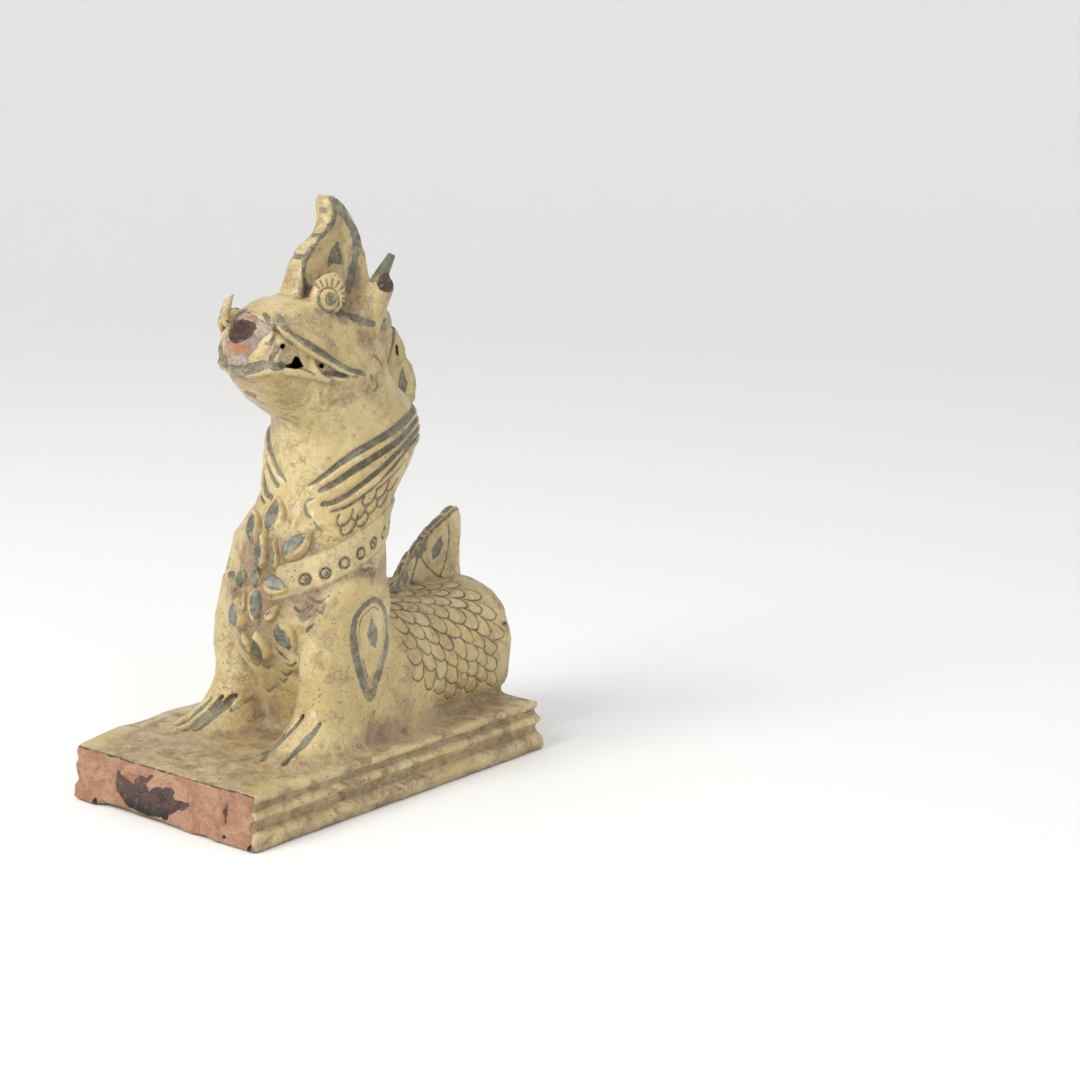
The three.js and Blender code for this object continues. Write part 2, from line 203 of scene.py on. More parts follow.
tile = {
    "thick": 38,
    "endLean": 3.5,
    "edgeRadius": 1.6,
    "farDepth": 0.5,  # the moulding is shallower on the right-hand side
    "crumbleReach": 9,
    "side": [(-2, 0), (0, 2), (0, 9), (-1.5, 11.5), (-6, 13.5), (-7, 17), (-5, 20.5), (-1.5, 23),
        (-1.5, 26), (-6, 28), (-7.4, 31), (-4.4, 34), (-4, 37), (-5, 38)],
    "warp": [(-1, 0), (-0.93, 3), (-0.8, 6), (-0.6, 7.5), (-0.35, 8), (0, 6), (0.5, 2), (1, 0)],
    # dirt and painted shade up the side: little on the ribs, much in the coves
    "dirtAndShade": [(0, 0.24), (1.5, 0.36), (7.5, 0.34), (9, 0.1), (11.5, 0.06), (13, 0.36), (20, 0.34),
        (21.5, 0.14), (23.5, 0.04), (26, 0.06), (27.5, 0.36), (31.5, 0.34), (33, 0.12), (35, 0.06),
        (38, 0.1)],
    # how far the broken front edge has crumbled away underneath, from right to left
    "crumble": [(-91, 2), (-80, 0.5), (-69, 1), (-60, 5.5), (-41, 5.5), (-22, 4.5), (0, 4), (18, 2.5),
        (27, 0.5), (44, 3), (53, 1), (60, 0), (91, 0)],
}
tileWarp, tileCrumble, tileDirtAndShade = (np.array(tile[key], float) for key in ("warp", "crumble", "dirtAndShade"))


def tileSide(depth):
    edge = [(tileWidth / 2 + u * depth, z) for u, z in tile["side"]]
    return np.array([(-30, 0), *edge, (-30, tile["thick"])])


tileSides = tileSide(1.0), tileSide(tile["farDepth"])


def tilePlace(x, y, z):  # height as it was before the right-hand top edge warped upwards
    warp = np.interp(y / (tileLength / 2), tileWarp[:, 0], tileWarp[:, 1])
    return z / (1 + warp * (0.5 - x / tileWidth) / tile["thick"])


def tileShape(x, y, z):
    flat = tilePlace(x, y, z)
    across = np.abs(x) + 0 * flat
    section = np.where(x > 0, *(insideOutline(across, flat, side) for side in tileSides))
    end = np.abs(y) - (tileLength / 2 - tile["endLean"] * np.clip(flat / tile["thick"], 0, 1))
    body = roundEdge(section, end, tile["edgeRadius"])
    lost = np.interp(x, tileCrumble[:, 0], tileCrumble[:, 1])
    crumbled = (z - lost * (1 - (y + tileLength / 2) / tile["crumbleReach"])) * 0.8
    return np.where(y < -tileLength / 2 + 12, softCut(body, crumbled, 1.5), body)


# rear body, trunk, legs and head

barrel = {
    "front": 20,
    "rear": 160,
    "shoulder": 10,
    "section": [(0, 128.4), (12, 128), (24, 127), (35, 124), (45, 119), (52.5, 111.5), (58, 100),
        (61.5, 89), (62.5, 79), (61.5, 69), (60, 59), (57, 50), (52, 43), (50, 30)],
}
barrelSection = np.vstack([[(-30, 128.5)], smoothRows(barrel["section"], 57), [(-30, 30)]])


def barrelShape(x, y, z):
    section = insideOutline(np.abs(x) + 0 * z, z + 0 * x, barrelSection)
    end = np.maximum(y - barrel["rear"], barrel["front"] - y)
    return roundEdge(section, end, barrel["shoulder"])


trunk = smoothRows([  # height, middle in Y, half width, half depth
    (28, 0, 42, 36), (60, -2, 44, 40), (85, -5, 48, 47), (103, -8, 53, 54), (125, -13, 57, 57),
    (148, -14, 59, 56), (162, -10.5, 57.5, 54.5), (176, -9, 56, 52.5), (188, -5.5, 54, 52.5),
    (198, 1, 51.5, 49.5), (206, 7, 49.5, 47.5), (216, 13, 49, 48.5), (228, 20, 50, 52), (243, 25.5, 51.5,
        56.5),
    (259, 28, 51, 56), (275, 27, 48, 54), (290, 20, 43, 48), (306, 8, 36, 40),
], 200)
bell = np.hanning(21)[1:-1]
for column in (1, 2, 3):
    trunk[:, column] = np.convolve(np.pad(trunk[:, column], 9, "edge"), bell / bell.sum(), "valid")


def trunkShape(x, y, z):
    middle, halfX, halfY = rowsAt(trunk, z)
    side = oval(x, y - middle, halfX, halfY, 2.08)
    return np.maximum(side, np.maximum(trunk[0, 0] - z, z - trunk[-1, 0]))


def trunkPlace(p):  # turn in degrees from the front, either side
    middle, halfX, halfY = rowsAt(trunk, p[:, 2])
    return np.degrees(np.arctan2(np.abs(p[:, 0]) / halfX, -(p[:, 1] - middle) / halfY))


def onTrunk(turn, height, proud=0.0):  # a point on the trunk and the way out from it
    middle, halfX, halfY = rowsAt(trunk, height)
    across, depth = math.sin(math.radians(turn)), -math.cos(math.radians(turn))
    out = unit(np.array([across / halfX, depth / halfY, 0]))
    return np.array([across * halfX, middle + depth * halfY, height]) + out * proud, out


leg = smoothRows([  # height, middle in X and Y, half width, half depth
    (32, 48, -42, 24, 37), (46, 47.5, -40, 23, 34), (60, 44, -33, 21, 30), (80, 41.5, -25, 21, 31),
    (105, 41, -19, 22.5, 38), (128, 41.5, -16, 22.5, 39), (146, 41, -14, 21.5, 36), (156, 39, -13, 19.5,
        32),
    (163, 36, -12, 15, 25), (167, 32, -10, 8, 14),
], 120)
flank = smoothRows([
    (32, 44, 32, 22, 53), (46, 44, 24, 20.5, 46), (62, 44, 14, 19.5, 37), (84, 43, 7, 18, 31),
    (108, 42, 2, 16, 27), (126, 40, -6, 12, 20),
], 100)


def columnShape(rows, power):
    def shape(x, y, z):
        middleX, middleY, halfX, halfY = rowsAt(rows, z)
        side = oval(np.abs(x) - middleX, y - middleY, halfX, halfY, power)
        return np.maximum(side, np.maximum(rows[0, 0] - z, z - rows[-1, 0]))

    return shape


legShape, flankShape = columnShape(leg, 2.5), columnShape(flank, 2.2)

head = smoothRows([  # place in Y, half width, underside, top
    (-78, 13, 309, 338), (-76, 18, 306, 341), (-73, 23, 301, 347), (-66, 29, 295, 352), (-55, 35, 286, 357),
    (-40, 40, 276, 361), (-20, 44, 264, 361), (0, 47, 258, 357), (20, 45, 256, 346),
    (38, 38, 258, 327), (50, 25, 262, 308), (57, 12, 270, 294),
], 160)


def headShape(x, y, z):
    half, low, high = rowsAt(head, y)
    side = oval(x, z - (low + high) / 2, half, (high - low) / 2, 2.4)
    return np.maximum(side, np.maximum(head[0, 0] - y, y - head[-1, 0]))


tileLow, tileHigh = (-tileWidth / 2, -tileLength / 2, 0), (tileWidth / 2, tileLength / 2, tile["thick"] + 9)
addClay(tileLow, tileHigh, tileShape, 1)
addClay((-63, 20, 30), (63, 160, 129), barrelShape, 7)
addClay((-60, -75, 28), (60, 86, 306), trunkShape, 9)
addClay((-66, -80, 32), (66, 40, 167), legShape, 7)
addClay((-66, -22, 32), (66, 86, 126), flankShape, 11)
addClay((-48, -78, 256), (48, 57, 361), headShape, 7)
for side in (1, -1):  # soft valleys over each shoulder and between leg and chest
    flip = np.array([side, 1, 1])
    cutBar(np.array([(50, -47, 154), (55, -32, 162.5), (59, -14, 166), (59, 2, 161), (57, 14, 151)]) * flip,
        [1.6, 2.6, 3.0, 2.8, 1.4], 3)
    cutBar(np.array([(51, -49, 150), (48, -55, 136), (41, -60, 120), (33, -58, 104), (26, -52, 90)]) * flip,
        [1.8, 2.6, 2.8, 2.8, 2.4], 3.5)
print("body roughed out")

# paws: flat wedges, with painted furrows between the toes

paws = [
    {
        "side": 1,
        # way forward, middle, half width, top
        "rows": [(36, 43, 20, 73), (54, 44.5, 22.5, 66), (70, 48, 24, 57), (84, 51, 24.5, 48.5),
            (93, 52, 23.5, 43.5), (100, 52, 20, 40)],
        "marks": [
            [(31, -70, 57), (29, -82, 49), (29, -92, 43)],
            [(41, -58, 65), (37, -74, 55), (34, -88, 46), (38, -97, 41)],
            [(58, -60, 64), (58, -76, 55), (56, -88, 46), (57, -95, 42)],
        ],
        "faint": [[(50, -84, 52), (43, -90, 46)], [(72, -70, 52), (71, -82, 46)]],
    },
    {
        "side": -1,
        "rows": [(36, 43, 19, 73), (54, 44, 20.5, 65), (70, 46, 21, 56), (84, 48, 19.5, 48),
            (93, 49, 16, 42.5), (97, 49, 12, 40)],
        "marks": [
            [(-40, -59, 64), (-43, -74, 55), (-47, -89, 45)],
            [(-31, -54, 66), (-36, -68, 57), (-40, -86, 46)],
            [(-50, -62, 62), (-54, -76, 53), (-57, -87, 45)],
        ],
        "faint": [[(-24, -46, 63), (-29, -60, 56)]],
    },
]

pawFoot = 36  # height that the paws start from, just inside the tile


def pawShape(paw):
    rows = smoothRows(paw["rows"], 60)

    def shape(x, y, z):
        middle, half, top = rowsAt(rows, -y)
        side = oval(x * paw["side"] - middle, z - pawFoot, half, top - pawFoot, 2.5)
        return roundEdge(side, np.maximum(-y - rows[-1, 0], y + rows[0, 0]), 3)

    return shape


for paw in paws:
    out = paw["side"] * np.array([20, 78])
    addClay((out.min(), -102, 34), (out.max(), -36, 75), pawShape(paw), 5)
    for furrow in paw["marks"]:
        cutBar(furrow, [1.6, 3.0, 3.2, 2.6], 1.6)
    for furrow in paw["faint"]:
        cutBar(furrow, [1.6, 1.8], 1.6)

# upright plates along the middle

# half thickness at the top and foot, where it thickens, how much of the foot stays unpainted, outline in Y and Z
plates = {
    "crest": {
        "half": 7.0,
        "footHalf": 11.5,
        "thicken": 60,
        "bare": 14,
        "moves": [(-35, 346), (-27, 366, -26, 388, -12, 395), (2, 402, 10, 411, 4, 426), (8, 430),
            (14, 428), (32, 416, 45, 396, 44, 372), (46, 335), (-33, 335)],
    },
    "mane": {
        "half": 7.2,
        "footHalf": 9.0,
        "thicken": 60,
        "bare": 6,
        "moves": [(24, 300), (38, 360), (46, 379), (50, 360, 64, 348), (73, 341, 75, 331), (78, 329),
            (87, 320, 90, 306), (101, 296, 101, 284), (100, 274), (84, 256), (40, 256)],
    },
    "frontFin": {
        "half": 5.2,
        "footHalf": 6.2,
        "thicken": 30,
        "bare": 14,
        "moves": [(72, 110), (82, 129, 92, 141), (98.5, 148.5), (111.5, 157.5), (114, 158),
            (117, 140, 112, 112)],
    },
    "rearFin": {
        "half": 5.6,
        "footHalf": 7.0,
        "thicken": 30,
        "bare": 14,
        "moves": [(108, 112), (110, 150), (113.6, 158.4), (125.2, 168), (143, 175.5), (150, 179.5),
            (156.5, 181), (160.5, 177, 160.5, 164), (158, 112)],
    },
}


def plateShape(plate):
    points = outline(plate["moves"])
    low, high = points.min(0), points.max(0)
    plate["outline"] = points

    def shape(x, y, z):
        flat = insideOutline(y + 0 * z, z + 0 * y, points) - 0.7
        grow = softStep(low[1] + plate["thicken"], low[1] + 8, z)
        wall = np.abs(x) - (plate["half"] + (plate["footHalf"] - plate["half"]) * grow)
        return roundEdge(flat, wall, 2.2)

    half = plate["footHalf"]
    return (-half, low[0], low[1]), (half, high[0], high[1]), shape


for plate in plates.values():
    addClay(*plateShape(plate), 3.5)
print("plates set up")

# eye, horn, nose curl, lips and teeth

eye = {
    "middle": (25, -18, 361),
    "facing": (0.76, -0.6, 0.25),
    "proud": 12,
    "dome": 0.012,
    "lump": [(-11.9, -8), (-11.2, 3), (-7.4, 11.6), (-0.5, 16.4), (6, 18.2), (10.5, 14.5), (13, 7),
        (12.4, -3.5), (7, -11), (-2, -14.2)],
}
eyeOut = unit(np.array(eye["facing"]))
eyeRight = unit(np.cross(-eyeOut, (0, 0, 1)))
eyeUp = np.cross(eyeRight, -eyeOut)


def eyePlace(x, y, z):
    away = [c - m for c, m in zip((x, y, z), eye["middle"])]
    return [sum(w * g for w, g in zip(away, axis)) for axis in (eyeRight, eyeUp, eyeOut)]


def eyeShape(x, y, z):
    a, b, out = eyePlace(x, y, z)
    lump = insideOutline(a, b, np.array(eye["lump"]))
    dome = out - eye["proud"] + eye["dome"] * (a * a + b * b)
    return np.maximum(roundEdge(lump, dome, 3), -14 - out)


addClay((8, -38, 345), (46, 4, 378), eyeShape, 2.5)
addBar([(23, -33, 353), (26.5, -39, 349)], [5.2, 4.6], 2)
addBar([(30, 2, 336), (35, 15, 353), (38.5, 26, 367)], [11.5, 10.4, 9.3], 3)
addBar([(35, 12, 336), (36.5, 19, 350), (38, 26, 362)], [10.5, 9.6, 8.4], 3)
addBar([(36, 21, 364), (37.5, 27.5, 375), (39, 36, 387)], [6.4, 5.2, 2.8], 1.5)


def hornBreak(x, y, z):  # the step where the back of the horn has snapped off
    return np.maximum(371.5 - z + 0.5 * (42 - x), 30 - y + 0.85 * (z - 371))


cutClay((26, 18, 360), (54, 50, 394), hornBreak, 1.0)
addBar([(-30, 2, 336), (-33, 8, 349)], [11.5, 11], 3)
cutBar([(-24, 12, 360), (-44, 12, 357)], [8, 8.5], 1.2)
cutBar([(-33, -28, 372), (-24, -16, 376)], [11, 11], 1.5)

lipUpper = [(20, -62, 352), (24, -65, 350), (30, -67, 344), (35, -59, 335), (40, -47, 326),
    (44, -34, 318.5), (47, -19, 310.5), (47.5, -3, 306)]
lipLower = [(-4, -79, 311.5), (8, -78, 310), (18, -76, 312.5), (25, -73, 314), (30, -67, 313.5),
    (36, -56, 311.5), (41, -42, 308), (44, -28, 305.5), (46, -12, 304), (47, -2, 305)]
teeth = {
    # the open wedge in Y and Z, where it starts, and how far it moves in Y and Z on its way in
    "gap": [(-71.5, 319), (-66, 320.5), (-63, 324.5), (-60, 324), (-54.5, 316.5), (-63, 316)],
    "from": 37,
    "to": 14,
    "slant": (1.08, 0.31),
    "holes": [((30.5, -68, 331.5), (20, -60, 330), 2.3), ((43.5, -43, 317), (34, -33, 314), 1.8)],
}
teethGap = np.array(teeth["gap"], float)


def gapWedge(out, y, z):
    slantY, slantZ = teeth["slant"]
    inward = teeth["from"] - out
    return insideOutline(y - slantY * inward, z + slantZ * inward + 0 * y, teethGap)


for side in (1, -1):
    flip = np.array([side, 1, 1])
    # the mouth is hollowed first, then the lips, teeth and fang stand in it
    cutBar(np.array([(33, -67, 325), (40, -55, 321), (45.5, -38, 315.5), (47.5, -22, 311)]) * flip,
        [4.0, 4.4, 3.4, 1.5], 1.5)
    addBar(np.array(lipUpper) * flip - [0, 0, 0.5], [2.4, 3.2, 3.4, 3.3, 3.1, 2.8, 2.4, 1.4], 1.4)
    addBar(np.array([(22, -67, 340), (28, -66, 334), (32, -60, 329), (36, -52, 324)]) * flip,
        [2.2, 2.4, 2.2, 1.6], 1)
    addBar(np.array(lipLower) * flip + [0, 0, 0.6], [2.6, 3.2, 3.2, 3, 2.8, 2.4, 2.2, 1.8], 1.5)
    addBar(np.array([(25.5, -70, 312), (25.5, -70.5, 322), (27, -67, 333)]) * flip, [3.4, 3.4, 3.2], 1.4)
    addBar(np.array([(37, -47, 320), (40, -45.5, 312), (41.5, -36, 305)]) * flip, [2.6, 3.0, 2.2], 0.8)

    def gapShape(x, y, z):
        return np.maximum(gapWedge(side * x, y, z), teeth["to"] - side * x)

    ends = np.sort([12 * side, 46 * side])
    cutClay((ends[0], -76, 300), (ends[1], -30, 332), gapShape, 0.5)
    for start, end, radius in teeth["holes"]:
        cutBar(np.array([start, end]) * flip, [radius, radius * 0.7], 0.6)

snout = {  # outlines in X and Z, and the curl's path
    "break": [(-14, 347), (-12, 350.5), (-4, 351.5), (6, 350), (13, 347), (22, 345), (24.5, 342), (20, 338),
        (16, 333), (12, 328), (7, 322), (5, 316.5), (-15, 315), (-18, 323), (-17, 332)],
    "recess": [(-14, 346), (-4, 347.5), (8, 346.5), (12, 343), (7, 338.5), (0, 334.5), (-8, 331.5),
        (-15, 333.5)],
    "core": [(-16, 327), (-13, 333), (-4, 334), (3, 332), (6, 329), (3, 325.5), (-4, 323.5), (-13, 323.5)],
    "curl": [(-16.5, -70, 341), (-17, -75, 345.5), (-17, -76.5, 351), (-16.5, -75, 357), (-15, -71.5, 363)],
    "cap": [(-8, 346), (-8, 350.5), (2, 350.5), (9, 347.5), (12, 345), (2, 346)],
}


def lump(middle, radii):
    return lambda x, y, z: ball((x, y, z), middle, radii)


cutClay((-22, -90, 318), (26, -68, 352), lump((2, -86, 335), (20, 12.5, 15)), 1.2)
cutClay((-18, -90, 330), (12, -66, 350), lump((-4, -78, 340), (11, 8.5, 6.5)), 0.8)
addClay((-16, -80, 322), (8, -66, 335), lump((-5, -70, 328.5), (11, 6.4, 5.4)), 0.8)
addBar([(22, -70, 343), (23, -72.5, 337), (20, -74.5, 329), (11, -76.5, 322)], [1.8, 2.2, 2.0, 1.4], 1.5)
addBar([(-11, -60, 350), (-14, -67, 347)], [3.2, 2.6], 2)
addBar(snout["curl"], [3.0, 3.6, 3.9, 3.1, 1.4], 1.8)
print("head modelled")

# locks of hair that sweep from the throat up to the nape

flutes = [  # turns and heights that each groove runs through
    [(22, 226), (32, 233), (53, 249), (82, 262), (112, 271), (150, 277)],
    [(32, 223), (43, 229), (61, 241), (84, 253), (112, 264), (150, 270)],
    [(37, 214), (50, 217), (70, 231), (90, 247), (110, 257), (150, 264)],
    [(46, 209), (61, 213), (79, 226), (94, 241), (108, 251), (150, 258)],
    [(84, 222), (96, 231), (110, 242), (125, 248), (150, 252)],
]
fluteWidths = [
    [0.6, 2.0, 2.4, 2.2, 1.6], [1.8, 2.4, 2.4, 2.0, 1.4], [1.8, 1.9, 2.0, 2.0, 1.4], [0.8, 1.4, 1.8, 1.8,
        1.4],
    [1.2, 1.6, 1.6, 1.6, 1.2],
]
farShift = 22  # the right-hand locks start that much nearer the throat
fluteStep = 0.93  # millimetres of trunk to a degree of turn
for upper, lower in zip(flutes, flutes[1:]):
    a, b = smoothRows(upper, 24), smoothRows(lower, 24)
    reach = np.linspace(max(a[0, 0], b[0, 0]), 150, 14)
    rise = (np.interp(reach, a[:, 0], a[:, 1]) + np.interp(reach, b[:, 0], b[:, 1])) / 2
    for side in (1, -1):
        shift = 0 if side > 0 else farShift
        middle = [onTrunk(side * (turn - shift), height, -2.2)[0] for turn, height in zip(reach, rise)]
        addBar(middle, [3.2, 5.2, 5.6, 5.4, 5], 2)
print("locks laid on")


# skin of the block

def sample(field, points):  # the field between its grid points
    cells = np.clip((points - blockLow) / voxel, 0, np.array(field.shape) - 1.001)
    base = cells.astype(int)
    t = cells - base
    total = 0
    for corner in np.ndindex(2, 2, 2):
        weight = np.prod(np.where(corner, t, 1 - t), axis=1)
        total = total + weight * field[tuple((base + corner).T)]
    return total


def slope(points):
    shift = np.eye(3) * voxel * 0.6
    return np.stack([(sample(clay, points + s) - sample(clay, points - s)) / (1.2 * voxel) for s in shift],
        1)


def toSkin(points, rounds=3):  # points moved on to the clay's surface
    points = np.array(points, float)
    for _ in range(rounds):
        way = slope(points)
        size = np.maximum((way**2).sum(1, keepdims=True), 0.05)
        points = points - np.clip(sample(clay, points)[:, None] / size, -4, 4) * way
    return points


def skinned(limit=3.0):
    grid = openvdb.FloatGrid(limit * voxel)
    grid.copyFromArray(np.clip(clay, -limit * voxel, limit * voxel))
    points, quads = grid.convertToQuads(0.0)
    return points.astype(float) * voxel + blockLow, quads.astype(int)


skinPoints, skinQuads = skinned()
skinPoints = toSkin(skinPoints, 2)
skinOut = unit(slope(skinPoints))
a, b, c, d = (skinPoints[skinQuads[:, corner]] for corner in range(4))
if ((a + b + c + d) * np.cross(c - a, d - b)).sum() < 0:
    skinQuads = skinQuads[:, ::-1]
print("skin has", len(skinPoints), "points")


# incised and painted marks, as distances in millimetres

far = 9.0  # nothing is marked this far from a line


def nearLine(points, line, widths, reach=far):  # stroke, worked out only where it matters
    line = np.asarray(line)
    close = ((points > line.min(0) - reach) & (points < line.max(0) + reach)).all(1)
    gap = np.full(len(points), reach)
    if close.any():
        gap[close] = np.minimum(stroke(points[close].T, line, widths), reach)
    return gap


def skinLine(points, widths, per=5):
    line, widths = alongLine(points, widths, per)
    return toSkin(line), widths


teardrop = {
    "line": [(-9, 146), (-20, 142), (-27.5, 136), (-31, 124), (-27.5, 106), (-20.5, 89), (-12, 73),
        (-6, 85), (4, 104), (8, 121), (4, 135), (-1, 142)],
    "half": (3.6, 2.2),  # half the line's width low down and at the top
    "inset": 5.2,  # the scratched line inside the painted one
    "heart": [(-12, 134), (-5.5, 122), (-7.5, 109), (-14, 113), (-18, 122)],
}
teardropOutline = smoothRows(teardrop["line"] + teardrop["line"][:1], 60)

plateMarks = {
    "crest": {
        "border": [(2, 433), (16, 431), (31, 420), (43, 408), (48, 393), (41, 390), (36.5, 384.5),
            (33, 377.5), (28, 366), (21.5, 357), (15, 364), (22.5, 372.5), (27, 381), (29.5, 389.5),
            (30, 397), (26, 405.5), (19.5, 413.5), (11, 420)],
        "curve": [(6, 429), (9, 425), (11.2, 418.5), (8.6, 410.6), (0, 404.6), (-9.7, 397), (-18, 388.3),
            (-22.6, 377.8), (-22.6, 364)],
        "leaf": [(14.5, 397.5), (16.5, 392), (17.8, 386), (16.5, 380), (9, 382), (2, 379), (3, 385),
            (6, 391)],
        # Y, Z, half height, half length
        "bars": [(3.8, 419.3, 2.4, 4.0), (-2, 402.5, 1.9, 4.4), (-20.5, 388.5, 2.5, 6.4)],
    },
    "mane": {
        "leaf": [(62.7, 341), (66.7, 336), (67.4, 327.6), (61, 328.9), (59.3, 335)],
        "line": [(74.8, 337), (76, 322), (72.7, 313), (68.5, 302)],
        "edgeLine": [(101, 279), (97, 270.5), (89, 264)],
        "lowLeaf": [(85.6, 300.4), (89.7, 287), (87, 276), (83, 270.5), (79, 281), (82, 293)],
        "hole": [(79.3, 315), (80.2, 309.5)],
    },
    "frontFin": {
        "arc": [(107.8, 156), (105.7, 144), (99, 128.8)],
        "leaf": [(96.3, 141), (97.4, 134), (91.2, 129.6), (88.4, 135.3)],
    },
    "rearFin": {
        "rightEdge": [(144, 174), (145, 157.4), (140, 140.6), (132.5, 129)],
        "leftEdge": [(116, 162), (111.4, 154.7), (111.3, 147.7), (119.4, 138.2), (131.9, 129)],
        "leaf": [(135, 162), (138, 154), (133.4, 147), (124.4, 143.2), (123.4, 152.7), (129, 157)],
        "backEdge": [(158, 179), (160.6, 172), (159.6, 155), (157.6, 127)],
    },
}
lashes = {"turns": np.linspace(-12, 128, 9), "middle": 12.9, "halfLength": 3.2, "half": 0.8, "depth": 0.7}
rings = {"turns": 39.5 + 14.2 * np.arange(7), "radius": 3.7, "half": 0.75, "depth": 1.5}
eyePaint = {"rim": (7.2, 8.4), "pupil": (4.3, 5.0), "pupilAt": (1.2, 0.4), "drop": 3.3}
# the path goes by turn and height
strap = {
    "half": 11,
    "proud": 1.9,
    "above": 3.5,
    "path": [(18, 155.5), (27, 159.5), (39.5, 164), (55.4, 168.5), (66.8, 174), (81.7, 179.5), (96, 184.5),
        (110.6, 189.5), (130, 194), (150, 197), (182, 198)],
}
strapPath = np.array(strap["path"], float)

scales = {
    "pitch": 11.6,  # row to row
    "cell": 12.6,  # width of a scale
    "length": 16.5,
    "stretch": 1.25,
    "origin": (4, -14),  # rows spread from here: place along the back and round from the spine
    "girth": 62.0,
    "level": 66,  # below this the flank runs straight down
    "crowded": 5,  # scales don't shrink further towards the origin
    "depth": 0.75,
    "belly": 0.35,
    "field": [(20, 9), (28, 50), (38, 80), (58, 98), (80, 107), (114, 111), (134, 107), (138, 82),
        (138, 56), (133, 30), (128, 9)],
}
turnTable = np.linspace(0, math.pi / 2 + 0.6, 200)
spanTable = np.cumsum(np.hypot(scales["stretch"] * np.sin(turnTable), np.cos(turnTable))) * turnTable[1]


def scaleCell(along, across, row, keep):  # distance to one row's outlines
    width, length = scales["cell"], scales["length"]
    shifted = across / width + 0.5 * (row % 2)
    column = np.round(shifted)
    du = (shifted - column) * width
    dv = along - row * scales["pitch"]
    edge = np.where(dv < 0, np.abs(du) - width * 0.51, oval(du, dv, width * 0.51, length, 2.3))
    kept = keep(row * scales["pitch"] + length * 0.5, (column - 0.5 * (row % 2)) * width, row)
    return edge, np.where(kept, np.abs(edge), far)


def scaleLines(along, across, keep):  # overlapping rows: the nearer one covers the next
    first = np.floor(along / scales["pitch"]) - 1
    line, seen = far, True
    for row in (first, first + 1, first + 2):
        edge, rowLine = scaleCell(along, across(row), row, keep)
        line, seen = np.where(seen, np.minimum(line, rowLine), line), seen & (edge > 0)
    return line


def barrelScales(p):
    x, y, z = p.T
    wander = np.stack([lumps(p, 16, 3), lumps(p, 16, 4)], 1) * 2.0
    rise = z - scales["level"]
    girth = np.arctan2(np.abs(x), np.maximum(rise, 0)) * scales["girth"] + np.maximum(-rise, 0)
    y0, s0 = scales["origin"]
    a, b = (y - y0) / scales["stretch"] + wander[:, 0], girth - s0 + wander[:, 1]
    along, turn = np.hypot(a, b), np.arctan2(b, a)
    field = np.array(scales["field"])

    def radius(row):
        return np.maximum((row + 0.5) * scales["pitch"], scales["crowded"])

    def across(row):
        return np.interp(turn, turnTable, spanTable) * radius(row)

    def keep(out, sideways, row):
        at = np.interp(sideways / radius(row), spanTable, turnTable)
        return insideOutline(y0 + out * np.cos(at) * scales["stretch"], s0 + out * np.sin(at), field) < 0

    return scaleLines(along, across, keep)


neckScales = {  # a patch of scratched scales: turn and height of each tip
    "tips": [(66, 193), (78, 197.5), (60, 199), (71.5, 202), (83.5, 205), (95, 208.5), (77, 211),
        (89, 214.5), (101, 218.5)],
    "curve": [(-5.6, 7.5), (-5.0, 3.2), (-2.6, 0.7), (0, 0), (2.8, 1.0), (5.2, 3.8), (5.8, 8.5)],
}


headLines = {
    "lipUpper": skinLine(lipUpper, [1.8, 3.5, 4.3, 4.5, 4.3, 3.9, 3.3, 1.6]),
    "lipLower": skinLine([(-23, -71, 311), (-4, -79, 312.5), (7, -78, 311), (18, -76, 314), (24, -74, 316),
        (29, -69, 315)], [2.2, 3.2, 4.2, 4.4, 3.6, 2.2]),
    "lipThin": skinLine([(28, -69, 315), (35, -58, 313), (40, -47, 310)], [2.2, 1.5, 0.9]),
    "lipCorner": skinLine([(41, -36, 309.5), (43.5, -28, 307.5), (46, -15, 306), (47, -3, 306)],
        [1.6, 3.0, 3.0, 1.4]),
    "nostril": skinLine([(9, -64, 352), (14, -66, 349), (17, -68, 346.5)], [1.6, 2.4, 1.4]),
    "column": skinLine([(25, -73, 316), (25, -72, 322), (27, -70, 329)], [2.2, 2.2, 1.9]),
    "inner": skinLine([(21, -74, 332), (24, -73, 335), (25, -71, 338)], [1.0, 1.8, 1.2]),
    "fang": skinLine([(41, -43, 317), (43.5, -38, 310), (44, -30, 305)], [1.2, 2.0, 1.2]),
    "comma": skinLine([(47, 5, 305), (47.5, 8, 300)], [1.5, 1.2]),
    "lowComma": skinLine([(47, 11, 303), (47.5, 13.5, 296), (46, 7, 293)], [0.9, 1.8, 0.9]),
}
hornBand = skinLine([(31, -7, 349.5), (34, -5, 348), (38, -2, 346), (42, 3, 343), (44, 10, 341.5)],
    [2.0, 2.8, 3.1, 3.1, 2.4])
scars = {  # where clay or glaze has come away: middle, radii
    "bare": [((-28, -22, 368), (13, 13, 7)), ((-34, 10, 355), (13, 13, 6)), ((-7, -64, 293), (6, 5, 2.2))],
    "burnt": [((7, 76, 331), (3, 3.5, 3)), ((5, 99, 283), (3, 3, 3.5)), ((4, 50, 376), (4, 3, 4.5)),
        ((44.5, 25, 369.5), (6.5, 8, 7))],
    "fleck": ((6, 100.5, 271), (4, 2.4, 2.4)),
    "nick": ((57, 149, 97), (3, 4, 1.6)),
}
chipLine = skinLine([(46, 9, 319), (46, 15, 316), (45, 21, 311)], [0.6, 1.2, 0.7])
